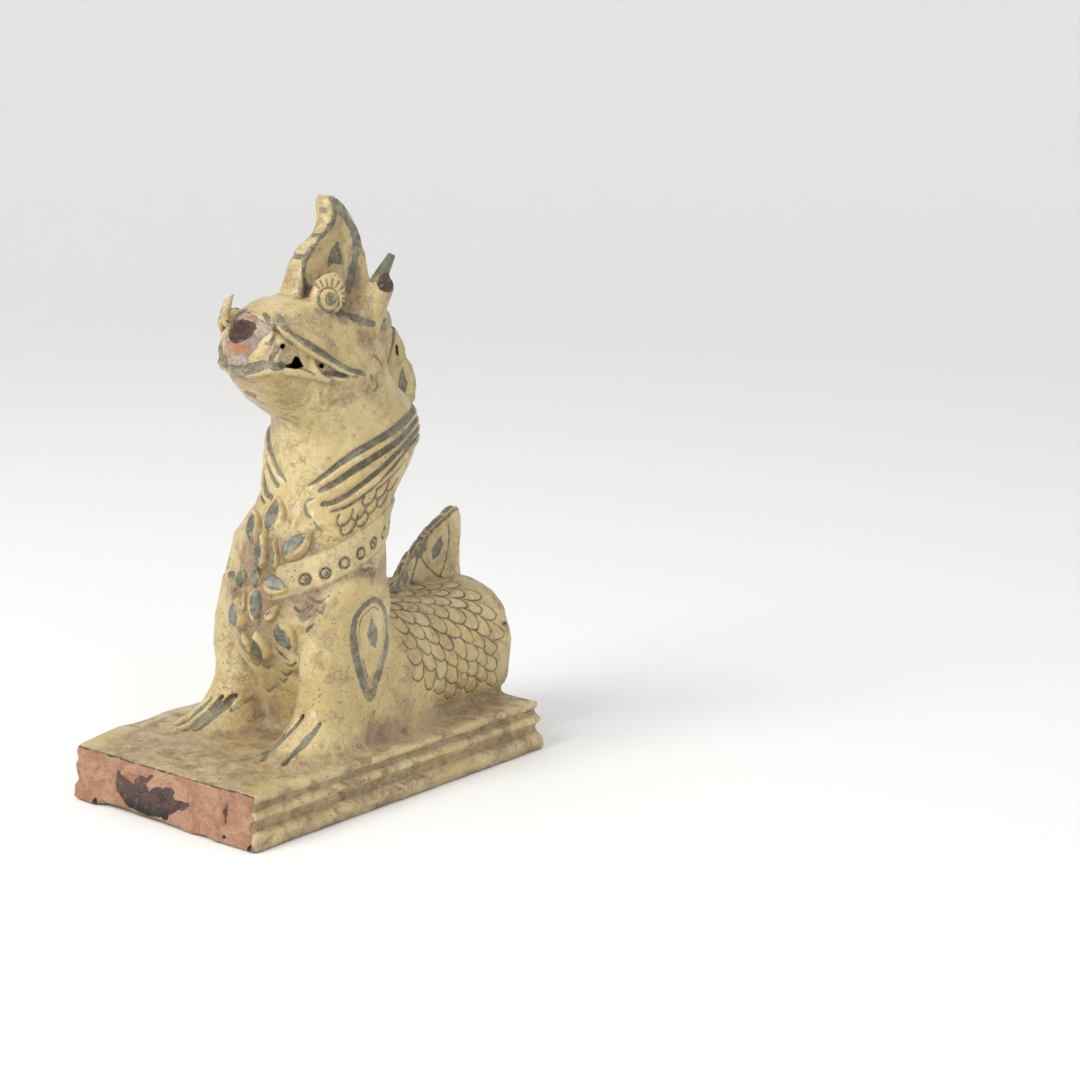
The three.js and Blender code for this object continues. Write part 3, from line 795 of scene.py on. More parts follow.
burns = {
    "patch": [(-46, 31), (-48, 23), (-45, 15), (-33, 6), (-16, 4.5), (3, 5), (11, 13), (24, 16.5), (25, 21),
        (12, 21), (10, 26), (4, 30), (-8, 25), (-14, 21), (-16, 26), (-10, 34), (-18, 32), (-27, 31),
        (-30, 24), (-38, 25), (-43, 30)],
    "crack": [(62, 29), (60.5, 23), (61, 15)],
    "spots": [(60.5, 23, 2.2), (61, 6, 1.6), (87, 3, 3.2), (-68, 3, 2.4), (-60, 2, 2)],  # X, Z, radius
}
strays = [  # loose scales, brushed in
    [(24, -29, 217), (21, -31, 216), (19, -33, 214), (19, -34, 211), (22, -35, 207), (26, -35, 205)],
    [(29, -35, 202), (33, -36, 199), (37, -35, 196)],
    [(42, -53, 151), (46, -51, 149), (49, -48, 149), (52, -44, 153)],
    [(34, -61, 145), (38, -59, 141), (41, -56, 144)], [(40, -55, 149), (43, -55, 144), (45, -52, 147)],
    [(37, -59, 138), (39, -57, 135), (44, -55, 139)], [(47, -52, 143), (50, -50, 141), (51, -47, 147)],
    [(41, -56, 127), (43, -55, 130), (45, -54, 132)], [(-17, -55, 95), (-8, -56, 93), (0, -60, 97)],
    [(0, -59, 97), (2, -56, 93), (7, -58, 96)], [(14, -54, 92), (17, -51, 89), (23, -51, 94)],
    [(20, -55, 100), (24, -54, 98), (29, -54, 102)], [(9, -52, 87), (12, -50, 83), (17, -50, 87)],
    [(-12, -46, 74), (-7, -46, 71), (2, -48, 77)], [(18, -63, 112), (20, -61, 108), (24, -57, 102)],
    [(-17, -58, 102), (-12, -59, 98), (-11, -54, 91)], [(56, -16, 169), (56, -10, 166), (57, -7, 168)],
    [(56, -6, 165), (56, -2, 161), (55, 4, 165)],
]
# places that rubbing has kept clean, and places darkened by settled dirt and by painted shade beside and between
# the legs, round the eye and at the feet of the fins: middle, radii, strength
wiped = [
    ((66, -8, 116), (26, 40, 50), 0.5), ((48, -54, 66), (26, 36, 30), 0.3),
    ((-52, -50, 84), (30, 36, 54), 0.3), ((12, -18, 226), (56, 42, 30), 0.3),
    ((50, 92, 110), (26, 60, 26), 0.12),
]
grimeAndShade = [
    ((4, -66, 164), (44, 30, 54), 0.62), ((38, -54, 150), (18, 14, 24), 0.46),
    ((34, -47, 187), (22, 14, 12), 0.46), ((-20, -52, 200), (20, 16, 14), 0.42),
    ((0, -56, 112), (32, 30, 28), 0.46), ((0, -42, 84), (26, 24, 22), 0.34),
    ((-4, -50, 52), (22, 26, 26), 0.4), ((66, -6, 44), (22, 56, 14), 0.46),
    ((48, -106, 39), (44, 22, 6), 0.34), ((82, 10, 39), (14, 150, 4), 0.34),
    ((56, 52, 46), (34, 44, 12), 0.3), ((58, -14, 164), (14, 26, 8), 0.4), ((30, -11, 350), (9, 9, 7), 1.1),
    ((13, -24, 364), (7, 9, 17), 0.95), ((16, 8, 354), (14, 18, 12), 0.62),
    ((0, 112, 128), (14, 50, 7), 0.5), ((0, 66, 122), (30, 22, 18), 0.4),
    ((10, 30, 372), (12, 12, 14), 0.5), ((30, -46, 345), (16, 14, 9), 0.32),
    ((44, -4, 286), (16, 40, 14), 0.22), ((40, 0, 352), (20, 22, 20), 0.28),
    ((46, 8, 330), (12, 30, 16), 0.3), ((40, -36, 318), (16, 24, 10), 0.22),
    ((-40, -80, 42), (34, 24, 8), 0.22), ((0, 40, 240), (60, 60, 8), 0.1),
    ((60, 30, 124), (14, 18, 26), 0.3),
]


x, y, z = skinPoints.T
side, left = np.abs(x), x > 0
mirrored = np.column_stack([side, y, z])
turn = trunkPlace(skinPoints)
toTrunk, toLeg = trunkShape(x, y, z), legShape(x, y, z)
marks = {kind: np.full(len(x), far) for kind in ("ink", "scratch", "bare", "burnt", "crust", "hole")}
lift = np.zeros(len(x))  # how far the skin is raised
settledDirtAndShade = np.zeros(len(x))  # how much dirt has settled, and how much painted shade is laid on


def mark(kind, gap, where=True):
    marks[kind] = np.minimum(marks[kind], np.where(where, gap, far))


def addDirtAndShade(amount, where=True):
    np.maximum(settledDirtAndShade, np.where(where, amount, 0), out=settledDirtAndShade)


def within(points, u, v):
    return insideOutline(u, v, np.array(points, float))


def away(middle, radii):  # 1 on the skin of an oval lump
    return np.sqrt((((skinPoints - middle) / radii) ** 2).sum(1))


# strap round the shoulders, with its ring stamps
onChest = (toTrunk < 7.5) & (z > 96) & (toLeg > 1.5) & (y < 95)
strapRise = z - np.interp(turn, strapPath[:, 0], strapPath[:, 1])
strapEdge = np.where(onChest & (turn > 18), np.abs(strapRise - strap["above"]) * 0.92 - strap["half"], far)
lift += strap["proud"] * softStep(1.6, -0.8, strapEdge) - 0.9 * softStep(1.6, 0, np.abs(strapEdge - 0.8))
# a dark seam along the strap's edges: dirt and painted shade
addDirtAndShade(0.36 * softStep(2.4, 0.4, np.abs(strapEdge - 0.9)), strapEdge < far - 0.1)
for at in rings["turns"]:
    gap = np.hypot((turn - at) * 0.96, z - np.interp(at, strapPath[:, 0], strapPath[:, 1]))
    gap = np.where(onChest, gap, far)
    ring = np.abs(gap - rings["radius"])
    lift -= rings["depth"] * softStep(1.5, 0.2, ring)
    mark("scratch", ring - rings["half"])
    addDirtAndShade(0.5, gap < rings["radius"])

# grooves between the locks
around = np.where(left, turn, turn + farShift) * fluteStep
close = onChest & (z > 200) & (z < 284) & (turn < 160)
gap = np.full(len(x), far)
for line, thick in zip(flutes, fluteWidths):
    points, widths = alongLine([(t * fluteStep, h) for t, h in line], thick)
    gap[close] = np.minimum(gap[close], stroke((around[close], z[close]), points, widths))
mark("ink", gap)
lift -= 1.6 * softStep(1.2, -1.2, gap)

# scales on the rump, and a patch on the neck
onBarrel = (barrelShape(x, y, z) < 2.5) & (toLeg > 2) & (toTrunk > 2) & (y > 15) & (y < 150)
line = np.full(len(x), far)
line[onBarrel] = barrelScales(skinPoints[onBarrel])
for tipTurn, tipHeight in neckScales["tips"]:
    scale = [onTrunk(tipTurn + u / fluteStep, tipHeight + v)[0] for u, v in neckScales["curve"]]
    line = np.minimum(line, nearLine(skinPoints, *skinLine(scale, [0.3], 3)))
mark("scratch", line - 0.5)
lift -= scales["depth"] * softStep(1.3, 0.1, line)
lift += scales["belly"] * softStep(1.0, 3.5, line) * (line < far - 0.1)

# teardrop on each shoulder
outer = (side > 38) & (z > 70) & (z < 152) & (y < 30) & (y > -45)
drop = np.where(outer, insideOutline(y, z, teardropOutline), far)
half = np.interp(z, (112, 143), teardrop["half"])
inner = np.abs(drop + teardrop["inset"])
mark("ink", np.minimum(np.abs(drop) - half, within(teardrop["heart"], y, z)), outer)
mark("scratch", inner - 0.4 + 0.5 * (lumps(skinPoints, 9, 31) > 0.25))
lift -= 0.5 * softStep(1.4, 0.0, np.abs(drop) - half + 0.8) + 0.4 * softStep(1.0, 0.1, inner) * (drop < 0)

# crest, mane and fins: areas first, then lines with their half widths
platePaint = {
    "crest": (["border", "leaf"], {"curve": [1.2, 2.2, 2.6, 2.4, 2, 1.6]}),
    "mane": (["leaf", "lowLeaf"], {"line": [0.9, 1.7, 1.6, 1], "edgeLine": [1.8, 1.4, 0.8], "hole": [1.5]}),
    "frontFin": (["leaf"], {"arc": [0.6, 1.0, 0.7]}),
    "rearFin": (["leaf"], {"rightEdge": [0.5, 1.0, 1.0, 0.8], "leftEdge": [0.9, 1.2, 1.2, 0.8],
        "backEdge": [1.4, 1.3, 1.2, 0.8]}),
}
clearOfHead = headShape(x, y, z) > 0.5
for name, plate in plates.items():
    low, high = plate["outline"].min(0), plate["outline"].max(0)
    on = (y > low[0] - 4) & (y < high[0] + 4) & (z > low[1] + plate["bare"]) & (z < high[1] + 4)
    on &= (side < 14) & clearOfHead
    if name == "mane":
        on &= (toTrunk > 0.5) & (y > 44)
    u, v, out = y[on], z[on], side[on]
    toEdge, face = insideOutline(u, v, plate["outline"]), out > plate["half"] - 3
    areas, lines = platePaint[name]
    painted = [within(plateMarks[name][area], u, v) for area in areas]
    painted += [stroke((u, v), *alongLine(plateMarks[name][line], widths)) for line,
        widths in lines.items()]
    paint = np.where(face, np.min(painted, axis=0), far)
    if name == "crest":
        for barY, barZ, halfHigh, halfWide in plateMarks["crest"]["bars"]:
            bar = np.maximum(np.hypot(u - barY, v - barZ) - halfHigh, np.abs(x[on] - 0.5) - halfWide)
            paint = np.minimum(paint, np.where(toEdge > -7, bar, far))
    if "Fin" in name:  # the slanting front edge is dark, with a black line along it
        front = (v - u > 22) & (v > 148) if name == "rearFin" else v - u > 36
        paint = np.where(face & front, np.minimum(paint, -2.0 - toEdge), paint)
        line = np.where(front & ~face & (toEdge > -3), out - plate["half"] + 1.4, far)
        marks["burnt"][on] = np.minimum(marks["burnt"][on], line)
    marks["ink"][on] = np.minimum(marks["ink"][on], paint)
    lift[on] -= 0.45 * softStep(0.6, -0.6, paint)

# head
for line in headLines.values():
    gap = nearLine(mirrored, *line)
    mark("ink", gap)
    lift -= 0.4 * softStep(1, -1, gap)
mark("ink", nearLine(skinPoints, *hornBand), z > 335)
mark("ink", 372.5 - z + 0.3 * (y - 24), left & (z > 368) & (y > 14) & (side > 28))
a, b, out = eyePlace(x, y, z)
b = b + eyePaint["drop"]
reach, angle = np.hypot(a, b), np.degrees(np.arctan2(b, a))
atEye = left & (out > 3) & (reach < 18) & (z > 345)


def eyeOval(middle, halves):  # 1 on the oval
    return np.hypot((a - middle[0]) / halves[0], (b - middle[1]) / halves[1])


rim = np.abs(eyeOval((0, 0), eyePaint["rim"]) - 1) * 7.5
pupil = eyeOval(eyePaint["pupilAt"], eyePaint["pupil"])
bend = np.min([np.abs(np.radians(angle - at)) for at in lashes["turns"]], axis=0) * reach
lash = np.maximum(bend - lashes["half"], np.abs(reach - lashes["middle"]) - lashes["halfLength"])
mark("ink", np.min([(pupil - 1) * 8, rim - np.where(b + a < -3, 1.3, 0.8), lash], axis=0), atEye)
lift += atEye * (1.1 * softStep(1.1, 0.6, pupil) - 0.6 * softStep(1.4, 0, rim)
                 - lashes["depth"] * softStep(0.6, -0.3, lash))

# toes, then loose scale marks under the strap, on the chest and on the neck
for line in paws[0]["marks"] + paws[1]["marks"]:
    gap = nearLine(skinPoints, *skinLine(line, [1.3, 3.4, 3.0, 1.4], 3))
    mark("ink", gap)
    lift -= 0.9 * softStep(1, -1.5, gap)
blotched = 0.5 * lumps(skinPoints, 3.5, 33)
for line in strays:
    gap = nearLine(skinPoints, *skinLine(line, [0.6, 1.3, 0.6], 4))
    mark("ink", gap + blotched)
    lift -= 0.5 * softStep(1.2, -0.6, gap)
print("lines incised and painted")


# where the glaze is missing

ragged = lumps(skinPoints, 5, 8) * 0.9 + lumps(skinPoints, 2.4, 9) * 0.5
chips = lumps(skinPoints, 2.6, 35)
flat = tilePlace(x, y, z)
end = tileLength / 2 - tile["endLean"] * np.clip(flat / tile["thick"], 0, 1)
rightEdge = x - 86.5 - 2.2 * lumps(skinPoints, 3.5, 10)
mark("bare", np.maximum(end + y - 1.2, rightEdge) + ragged * 0.6, z < tile["thick"] + 9)
mark("bare", end - y - 1.0 + ragged, z < 60)
mark("bare", z - 0.4 + ragged * 0.3)

# broken nose: bare clay, a burnt recess and a hard crust
inBreak = within(snout["break"], x, z) + 0.5 * ragged
inBreak = np.maximum(inBreak, 4.6 - nearLine(skinPoints, *alongLine(snout["curl"], [0.0])))
mark("bare", inBreak, y < -60)
broken = (inBreak < 2) & (y < -60)
crusty = -within(snout["core"], x, z) + 1.3 * ragged + 0.7 * chips
mark("crust", np.maximum(crusty, -within(snout["cap"], x, z) + 1.3 * ragged), broken)
mark("burnt", within(snout["recess"], x, z) + 1.2 * ragged, broken)

# burnt patch, crack and spots on the front of the tile
atFront = (y < -tileLength / 2 + 9) & (z < tile["thick"] + 4)
crack = stroke((x, z), *alongLine(burns["crack"], [0.4, 1.3, 0.8])) + 0.5 * chips
mark("burnt", within(burns["patch"], x, z) + 1.4 * ragged + chips, atFront)
mark("burnt", crack, atFront)
for spotX, spotZ, radius in burns["spots"]:
    mark("burnt", np.hypot(x - spotX, z - spotZ) - radius + 0.8 * chips, atFront)
mark("burnt", np.maximum(tile["thick"] - 0.4 - flat + 0.5 * chips, np.abs(end + y) - 2), atFront)
lift -= np.where(atFront, 2.4 * softStep(0.8, -0.8, crack), 0)

# scars, chips and holes
for middle, radii in scars["bare"] + scars["burnt"]:
    mark("bare", ball((x, y, z), middle, radii) + ragged)
for middle, radii in scars["burnt"]:
    mark("burnt", ball((x, y, z), middle, radii) + ragged + 1.2 * chips - 0.2)
mark("bare", nearLine(skinPoints, *chipLine) + ragged * 0.3)
fleck, nick = (ball((x, y, z), *scars[name]) + 0.6 * chips for name in ("fleck", "nick"))
for kind, gap in (("bare", fleck), ("crust", fleck), ("burnt", nick), ("bare", nick - 0.4)):
    mark(kind, gap)
# holes and the mouth gap are marked to go near black: painted shade inside them
for start, end, radius in teeth["holes"]:
    mark("hole", nearLine(mirrored, np.array([start, end], float),
        np.array([radius, radius])) + 0.5 * chips)
pierced = stroke((y, z), *alongLine(plateMarks["mane"]["hole"], [1.5])) + 0.4 * chips
mark("hole", pierced, (side < 12) & (side > 4) & (y > 60))
inMouth = (side < 42) & (side > 12) & (y < -28) & (z > 300) & (z < 335)
mark("hole", gapWedge(side, y, z) - 0.5, inMouth)

# settled dirt and painted shade, and then the rubbed places
onSide = (side > 80) & (z < tile["thick"] + 5)
onTop = (z > tile["thick"] - 3) & (z < tile["thick"] + 9) & ~onSide
addDirtAndShade(np.interp(flat, tileDirtAndShade[:, 0], tileDirtAndShade[:, 1]), onSide)
addDirtAndShade(0.33 * softStep(1, 9, tileWidth / 2 - side), onTop)
# these blobs darken the glaze: dirt on the chest, painted shade in the recesses
for middle, radii, strength in grimeAndShade:
    addDirtAndShade(strength * softStep(1.15, 0.35, away(middle, radii)))
for middle, radii, strength in wiped:
    settledDirtAndShade -= strength * softStep(1.1, 0.5, away(middle, radii))

# unevenness: the clay was smoothed by hand, the tile in long strokes, and the breaks are gritty
uneven = 0.7 * lumps(skinPoints, 24, 1) + 0.45 * lumps(skinPoints, 9, 2) + 0.22 * lumps(skinPoints, 4, 12)
longways = skinPoints * [0.3, 1, 1]
uneven += ((z > 30) & (z < 50)) * (0.6 * lumps(longways, 7, 13) + 0.3 * lumps(longways, 3.5, 14))
grit = 0.6 * lumps(skinPoints, 5, 21) + 0.6 * lumps(skinPoints, 2.6, 22) - 0.5
grit *= softStep(0.6, -1.5, marks["bare"]) * np.where(z < 3, 0.3, 1)
relief = lift + uneven + grit
relief = np.where(z < 1.5, np.minimum(relief, 0) * 0.3, relief)
skinPoints = np.clip(skinPoints + skinOut * relief[:, None], boxLow, boxHigh)
print("marks cut into the skin")


# mesh pieces

def newPiece(name, points, faces):
    mesh = bpy.data.meshes.new(name)
    mesh.from_pydata(points, [], faces)
    piece = bpy.data.objects.new(name, mesh)
    bpy.context.scene.collection.objects.link(piece)
    return piece


def addValues(mesh, name, values, kind="FLOAT"):
    layer = mesh.attributes.new(name, kind, "POINT")
    values = np.ascontiguousarray(values, np.float32).ravel()
    layer.data.foreach_set("value" if kind == "FLOAT" else "vector", values)


def plainMesh(piece):  # the piece's mesh with its modifiers worked in
    graph = bpy.context.evaluated_depsgraph_get()
    piece.data = bpy.data.meshes.new_from_object(
        piece.evaluated_get(graph), preserve_all_data_layers=True, depsgraph=graph)
    piece.modifiers.clear()
    return piece.data


# how deep each spot lies among its neighbours: below 0 on edges, above 0 in hollows
solid = np.clip(0.5 - clay / voxel, 0, 1).astype(np.float32)


def spread(field, width):  # the mean of the field over a cube of that width
    half = max(int(round(width / voxel / 2)), 1)
    for axis in range(3):
        padding = [(half + 1, half) if a == axis else (0, 0) for a in range(3)]
        total = np.cumsum(np.pad(field, padding, "edge"), axis, dtype=np.float64)
        ahead = np.take(total, np.arange(2 * half + 1, total.shape[axis]), axis)
        behind = np.take(total, np.arange(0, total.shape[axis] - 2 * half - 1), axis)
        field = ((ahead - behind) / (2 * half + 1)).astype(np.float32)
    return field


fine, broad = spread(spread(solid, 5), 5), spread(spread(solid, 14), 14)
beast = newPiece("beast", skinPoints * 0.001, skinQuads)
for name, values in marks.items():
    addValues(beast.data, name, np.clip(values, -6, 6))
addValues(beast.data, "hollow", (sample(fine, skinPoints) - 0.5) * 2)
addValues(beast.data, "sheltered", (sample(broad, skinPoints) - 0.5) * 2)
addValues(beast.data, "settledDirtAndShade", settledDirtAndShade)
busy = np.min([np.abs(gap) for gap in marks.values()], axis=0)  # faces are kept where marks end
thin = beast.vertex_groups.new(name="thin")
steps = 8
levels = np.round(softStep(1.2, 4.0, busy) * steps).astype(int)
for level in range(steps + 1):
    thin.add(np.flatnonzero(levels == level).tolist(), level / steps, "REPLACE")
decimate = beast.modifiers.new("thin", "DECIMATE")
decimate.ratio = min(1.0, clayBlock["faces"] / (2 * len(skinQuads)))
decimate.vertex_group, decimate.vertex_group_factor = "thin", 0.05
beastMesh = plainMesh(beast)
beast.vertex_groups.clear()
corners = np.empty(3 * len(beastMesh.vertices))
beastMesh.vertices.foreach_get("co", corners)
corners = np.clip(corners.reshape(-1, 3), boxLow * 0.001, boxHigh * 0.001)
beastMesh.vertices.foreach_set("co", corners.ravel())
beastMesh.shade_smooth()
print("beast has", len(beastMesh.polygons), "faces")


# petals and pellets of the chest ornament, and the studs in the strap

petals = {
    # turn, height, half width, half height, lean, how proud, which way its glazed middle lies
    "set": [
        (-1, 205, 10.8, 19.5, -20, 5.2, "left"), (-18, 196, 8.0, 18.5, -46, 5.0, "left"), (31, 188, 9.5,
            15.5, 44, 5.0, "left"),
        (2, 181, 7.2, 16.0, -4, 5.4, "left"), (14, 180, 4.2, 13.5, -8, 4.6, "left"),
        (-12, 159, 6.4, 7.6, 0, 5.2, "round"), (2, 162, 5.4, 8.6, 0, 5.6, "round"),
        (20, 158, 9.2, 12.8, 103, 5.4, "left"), (-26, 158, 5.5, 8.0, -80, 4.4, "right"), (5, 142, 7.2, 14.5,
            178, 5.2, "left"),
        (19, 140, 4.2, 10.0, 40, 4.0, "bare"), (-6, 144, 3.6, 9.5, 6, 3.6, "bare"), (-14, 134, 11.5, 14.5,
            4, 5.0, "left"),
        (29, 121, 9.6, 14.0, 152, 4.8, "right"), (5, 112, 9.5, 13.6, -8, 5.2, "left"),
        (-9, 112, 4.5, 10.0, -12, 3.6, "bare"),
    ],
    # how pointed, and where the glazed middle sits in the petal: place, half sizes
    "kinds": {"left": (0.42, -0.27, -0.16, 0.57, 0.68), "right": (0.42, 0.27, -0.16, 0.57, 0.68),
        "round": (0.1, -0.06, 0, 0.76, 0.76), "bare": (0.5, -0.3, -0.2, 0.16, 0.2)},
    "rings": 12,
    "round": 32,
    "sunk": 0.8,
}
studSizes = {"Stud radius": 0.0023, "Stud height": 0.0010}


def ringFaces(count, rings):  # a middle point, then rings of points round it
    faces = [(0, 1 + (j + 1) % count, 1 + j) for j in range(count)]
    for start in range(1, 1 + count * (rings - 1), count):
        pairs = [(start + j, start + (j + 1) % count) for j in range(count)]
        faces += [(a, b, b + count, a + count) for a, b in pairs]
    return faces


def petalTemplate(kind):
    pointed, middleX, middleY, halfX, halfY = petals["kinds"][kind]
    turn = np.linspace(0, 2 * math.pi, petals["round"], endpoint=False) + 1e-4
    edgeX = np.sin(turn) * np.sin(turn / 2) ** (2 * pointed)
    edgeX, edgeY = edgeX / np.abs(edgeX).max(), np.cos(turn)
    rings = np.linspace(0, 1, petals["rings"] + 1)[1:] ** 0.8
    x = np.concatenate([[0], np.outer(rings, edgeX).ravel(), [0]])
    y = np.concatenate([[0], np.outer(rings, edgeY).ravel(), [0]])
    out = np.concatenate([[0], np.repeat(rings, len(turn)), [1]])
    fromMiddle = np.hypot((x - middleX) / halfX, (y - middleY) / halfY)  # 1 at the edge of the glazed middle
    height = 0.95 - 1.7 * softStep(0.66, 1.06, out) - 0.16 * np.exp(-(((fromMiddle - 1) / 0.12) ** 2))
    height -= np.where(fromMiddle < 1, 0.14 * (1 - fromMiddle**4), 0)
    height[-1] = -0.8
    count, last = len(turn), len(x) - 1
    faces = ringFaces(count, len(rings)) + [(last - count + j, last - count + (j + 1) % count,
        last) for j in range(count)]
    petal = newPiece("petal", np.column_stack([x, y, height]), faces)
    addValues(petal.data, "fromMiddle", fromMiddle)
    addValues(petal.data, "fromEdge", 1 - out)
    if sum(face.normal.z * face.area for face in petal.data.polygons if face.center.z > 0.3) < 0:
        petal.data.flip_normals()
    petal.data.shade_smooth()
    return petal


def scatterTree(name, inputs, shapeAndScale):  # copies of a shape on points that carry each one's lie
    tree = bpy.data.node_groups.new(name, "GeometryNodeTree")
    tree.interface.new_socket("Geometry", in_out="OUTPUT", socket_type="NodeSocketGeometry")
    keys = {}
    for label, kind in {"Geometry": "Geometry", **inputs, "Material": "Material"}.items():
        keys[label] = tree.interface.new_socket(label, in_out="INPUT",
            socket_type="NodeSocket" + kind).identifier

    def add(kind, links=None, out=0, **settings):
        node = tree.nodes.new(kind)
        for key, value in settings.items():
            setattr(node, key, value)
        for key, value in (links or {}).items():
            if isinstance(value, bpy.types.NodeSocket):
                tree.links.new(value, node.inputs[key])
            else:
                node.inputs[key].default_value = value
        return node.outputs[out] if node.outputs else node

    given = tree.nodes.new("NodeGroupInput").outputs
    shape, scale = shapeAndScale(add, given)
    lie = add("GeometryNodeInputNamedAttribute", {"Name": "lie"}, "Attribute", data_type="FLOAT_VECTOR")
    copies = add("GeometryNodeInstanceOnPoints", {"Points": given["Geometry"], "Instance": shape,
        "Rotation": lie, "Scale": scale})
    real = add("GeometryNodeRealizeInstances", {"Geometry": copies})
    painted = add("GeometryNodeSetMaterial", {"Geometry": real, "Material": given["Material"]})
    add("NodeGroupOutput", {"Geometry": painted})
    return tree, keys


def petalAndScale(add, given):
    size = add("GeometryNodeInputNamedAttribute", {"Name": "size"}, "Attribute", data_type="FLOAT_VECTOR")
    shape = add("GeometryNodeObjectInfo", {"Object": given["Petal"]}, "Geometry")
    return shape, add("ShaderNodeVectorMath", {0: size, "Scale": given["Swell"]}, "Vector",
        operation="SCALE")


def studAndScale(add, given):
    dome = add("GeometryNodeMeshUVSphere", {"Segments": 16, "Rings": 8, "Radius": 1.0}, "Mesh")
    radius, height = given["Stud radius"], given["Stud height"]
    return (add("GeometryNodeSetShadeSmooth", {"Geometry": dome}),
        add("ShaderNodeCombineXYZ", {"X": radius, "Y": radius, "Z": height}))


def lieOf(out, lean):  # turns that lay a piece's +Z along out, with its +Y up and leaned over
    out = Vector(out).normalized()
    across = Vector((0, 0, 1)).cross(out).normalized()
    up = out.cross(across)
    lean = math.radians(lean)
    top = up * math.cos(lean) + across * math.sin(lean)
    side = top.cross(out)
    return tuple(Matrix((side, top, out)).transposed().to_euler())


def scattered(name, spots, tree, values):  # spots: place in mm, lie and size of each copy
    group, keys = tree
    places, lies, sizes = (np.array(column) for column in zip(*spots))
    piece = newPiece(name, places * 0.001, [])
    addValues(piece.data, "lie", lies, "FLOAT_VECTOR")
    addValues(piece.data, "size", sizes, "FLOAT_VECTOR")
    repeat = piece.modifiers.new("repeat", "NODES")
    repeat.node_group = group
    for label, value in values.items():
        repeat[keys[label]] = value
    plainMesh(piece)
    return piece


def skinSpot(turn, height, sink):
    at, out = onTrunk(turn, height)
    spot = toSkin([at + out])
    way = unit(slope(spot))
    return (spot - way * sink)[0], way[0]


# finishes

class Sum:  # a node's value that can stand in sums
    def __init__(self, finish, socket):
        self.finish, self.socket = finish, socket

    def work(self, operation, a, b=0.0):
        return self.finish.node("ShaderNodeMath", {"operation": operation}, {0: a, 1: b})

    def __add__(self, other):
        return self.work("ADD", self, other)

    def __mul__(self, other):
        return self.work("MULTIPLY", self, other)

    def __sub__(self, other):
        return self.work("SUBTRACT", self, other)

    def __rsub__(self, other):
        return self.work("SUBTRACT", other, self)

    __radd__, __rmul__ = __add__, __mul__

    def least(self, other):
        return self.work("MINIMUM", self, other)

    def most(self, other):
        return self.work("MAXIMUM", self, other)

    def size(self):
        return self.work("ABSOLUTE", self)


class Finish:
    def __init__(self, name):
        self.material = bpy.data.materials.new(name)
        self.material.use_nodes = True
        self.tree = self.material.node_tree
        self.tree.nodes.clear()
        self.place = self.node("ShaderNodeTexCoord", out="Object")

    def node(self, kind, settings=None, inputs=None, out=0):
        made = self.tree.nodes.new(kind)
        for key, value in (settings or {}).items():
            setattr(made, key, value)
        for key, value in (inputs or {}).items():
            if isinstance(value, Sum):
                self.tree.links.new(value.socket, made.inputs[key])
            else:
                made.inputs[key].default_value = value
        return Sum(self, made.outputs[out])

    def value(self, name):  # an attribute of the mesh
        return self.node("ShaderNodeAttribute", {"attribute_name": name}, out="Fac")

    def noise(self, scale, detail=3.0, rough=0.55, bend=0.0):
        inputs = {"Vector": self.place, "Scale": scale, "Detail": detail, "Roughness": rough,
            "Distortion": bend}
        return self.node("ShaderNodeTexNoise", inputs=inputs, out="Fac")

    def cells(self, scale, feature="F1"):
        return self.node("ShaderNodeTexVoronoi", {"feature": feature},
            {"Vector": self.place, "Scale": scale}, "Distance")

    def step(self, value, start, end):  # 0 at start, 1 at end
        return self.node("ShaderNodeMapRange", {"interpolation_type": "SMOOTHSTEP"},
            {"Value": value, "From Min": start, "From Max": end, "To Min": 0.0, "To Max": 1.0})

    def mix(self, share, a, b):  # colours
        a, b = ((*c, 1.0) if isinstance(c, tuple) else c for c in (a, b))
        return self.node("ShaderNodeMix", {"data_type": "RGBA"}, {0: share, 6: a, 7: b}, out=2)

    def bump(self, height, depth):
        inputs = {"Height": height, "Distance": depth, "Strength": 1.0}
        return self.node("ShaderNodeBump", inputs=inputs, out="Normal")

    def close(self, colour, rough, normal, coat=0.0):
        inputs = {"Base Color": colour, "Roughness": rough, "Normal": normal, "IOR": 1.5,
            "Coat Weight": coat, "Coat Roughness": 0.16}
        shader = self.node("ShaderNodeBsdfPrincipled", inputs=inputs)
        end = self.tree.nodes.new("ShaderNodeOutputMaterial")
        self.tree.links.new(shader.socket, end.inputs["Surface"])
        return self.material


glaze = {
    "straw": (0.485, 0.365, 0.145),
    "pale": (0.60, 0.485, 0.245),
    "chalk": (0.66, 0.58, 0.41),
    "ochre": (0.39, 0.26, 0.082),
    "brown": (0.20, 0.13, 0.068),
    "mauve": (0.30, 0.212, 0.15),
    "soot": (0.06, 0.046, 0.036),
    "slate": (0.088, 0.090, 0.062),
    "slatePale": (0.19, 0.195, 0.145),
}
fired = {
    "salmon": (0.36, 0.178, 0.102),
    "pale": (0.45, 0.262, 0.165),
    "red": (0.33, 0.14, 0.08),
    "burnt": (0.022, 0.018, 0.017),
    # near black for holes: painted shade
    "hole": (0.008, 0.006, 0.005),
    "burntRed": (0.105, 0.060, 0.050),
    "crust": (0.25, 0.21, 0.17),
    "fleck": (0.42, 0.35, 0.285),
}


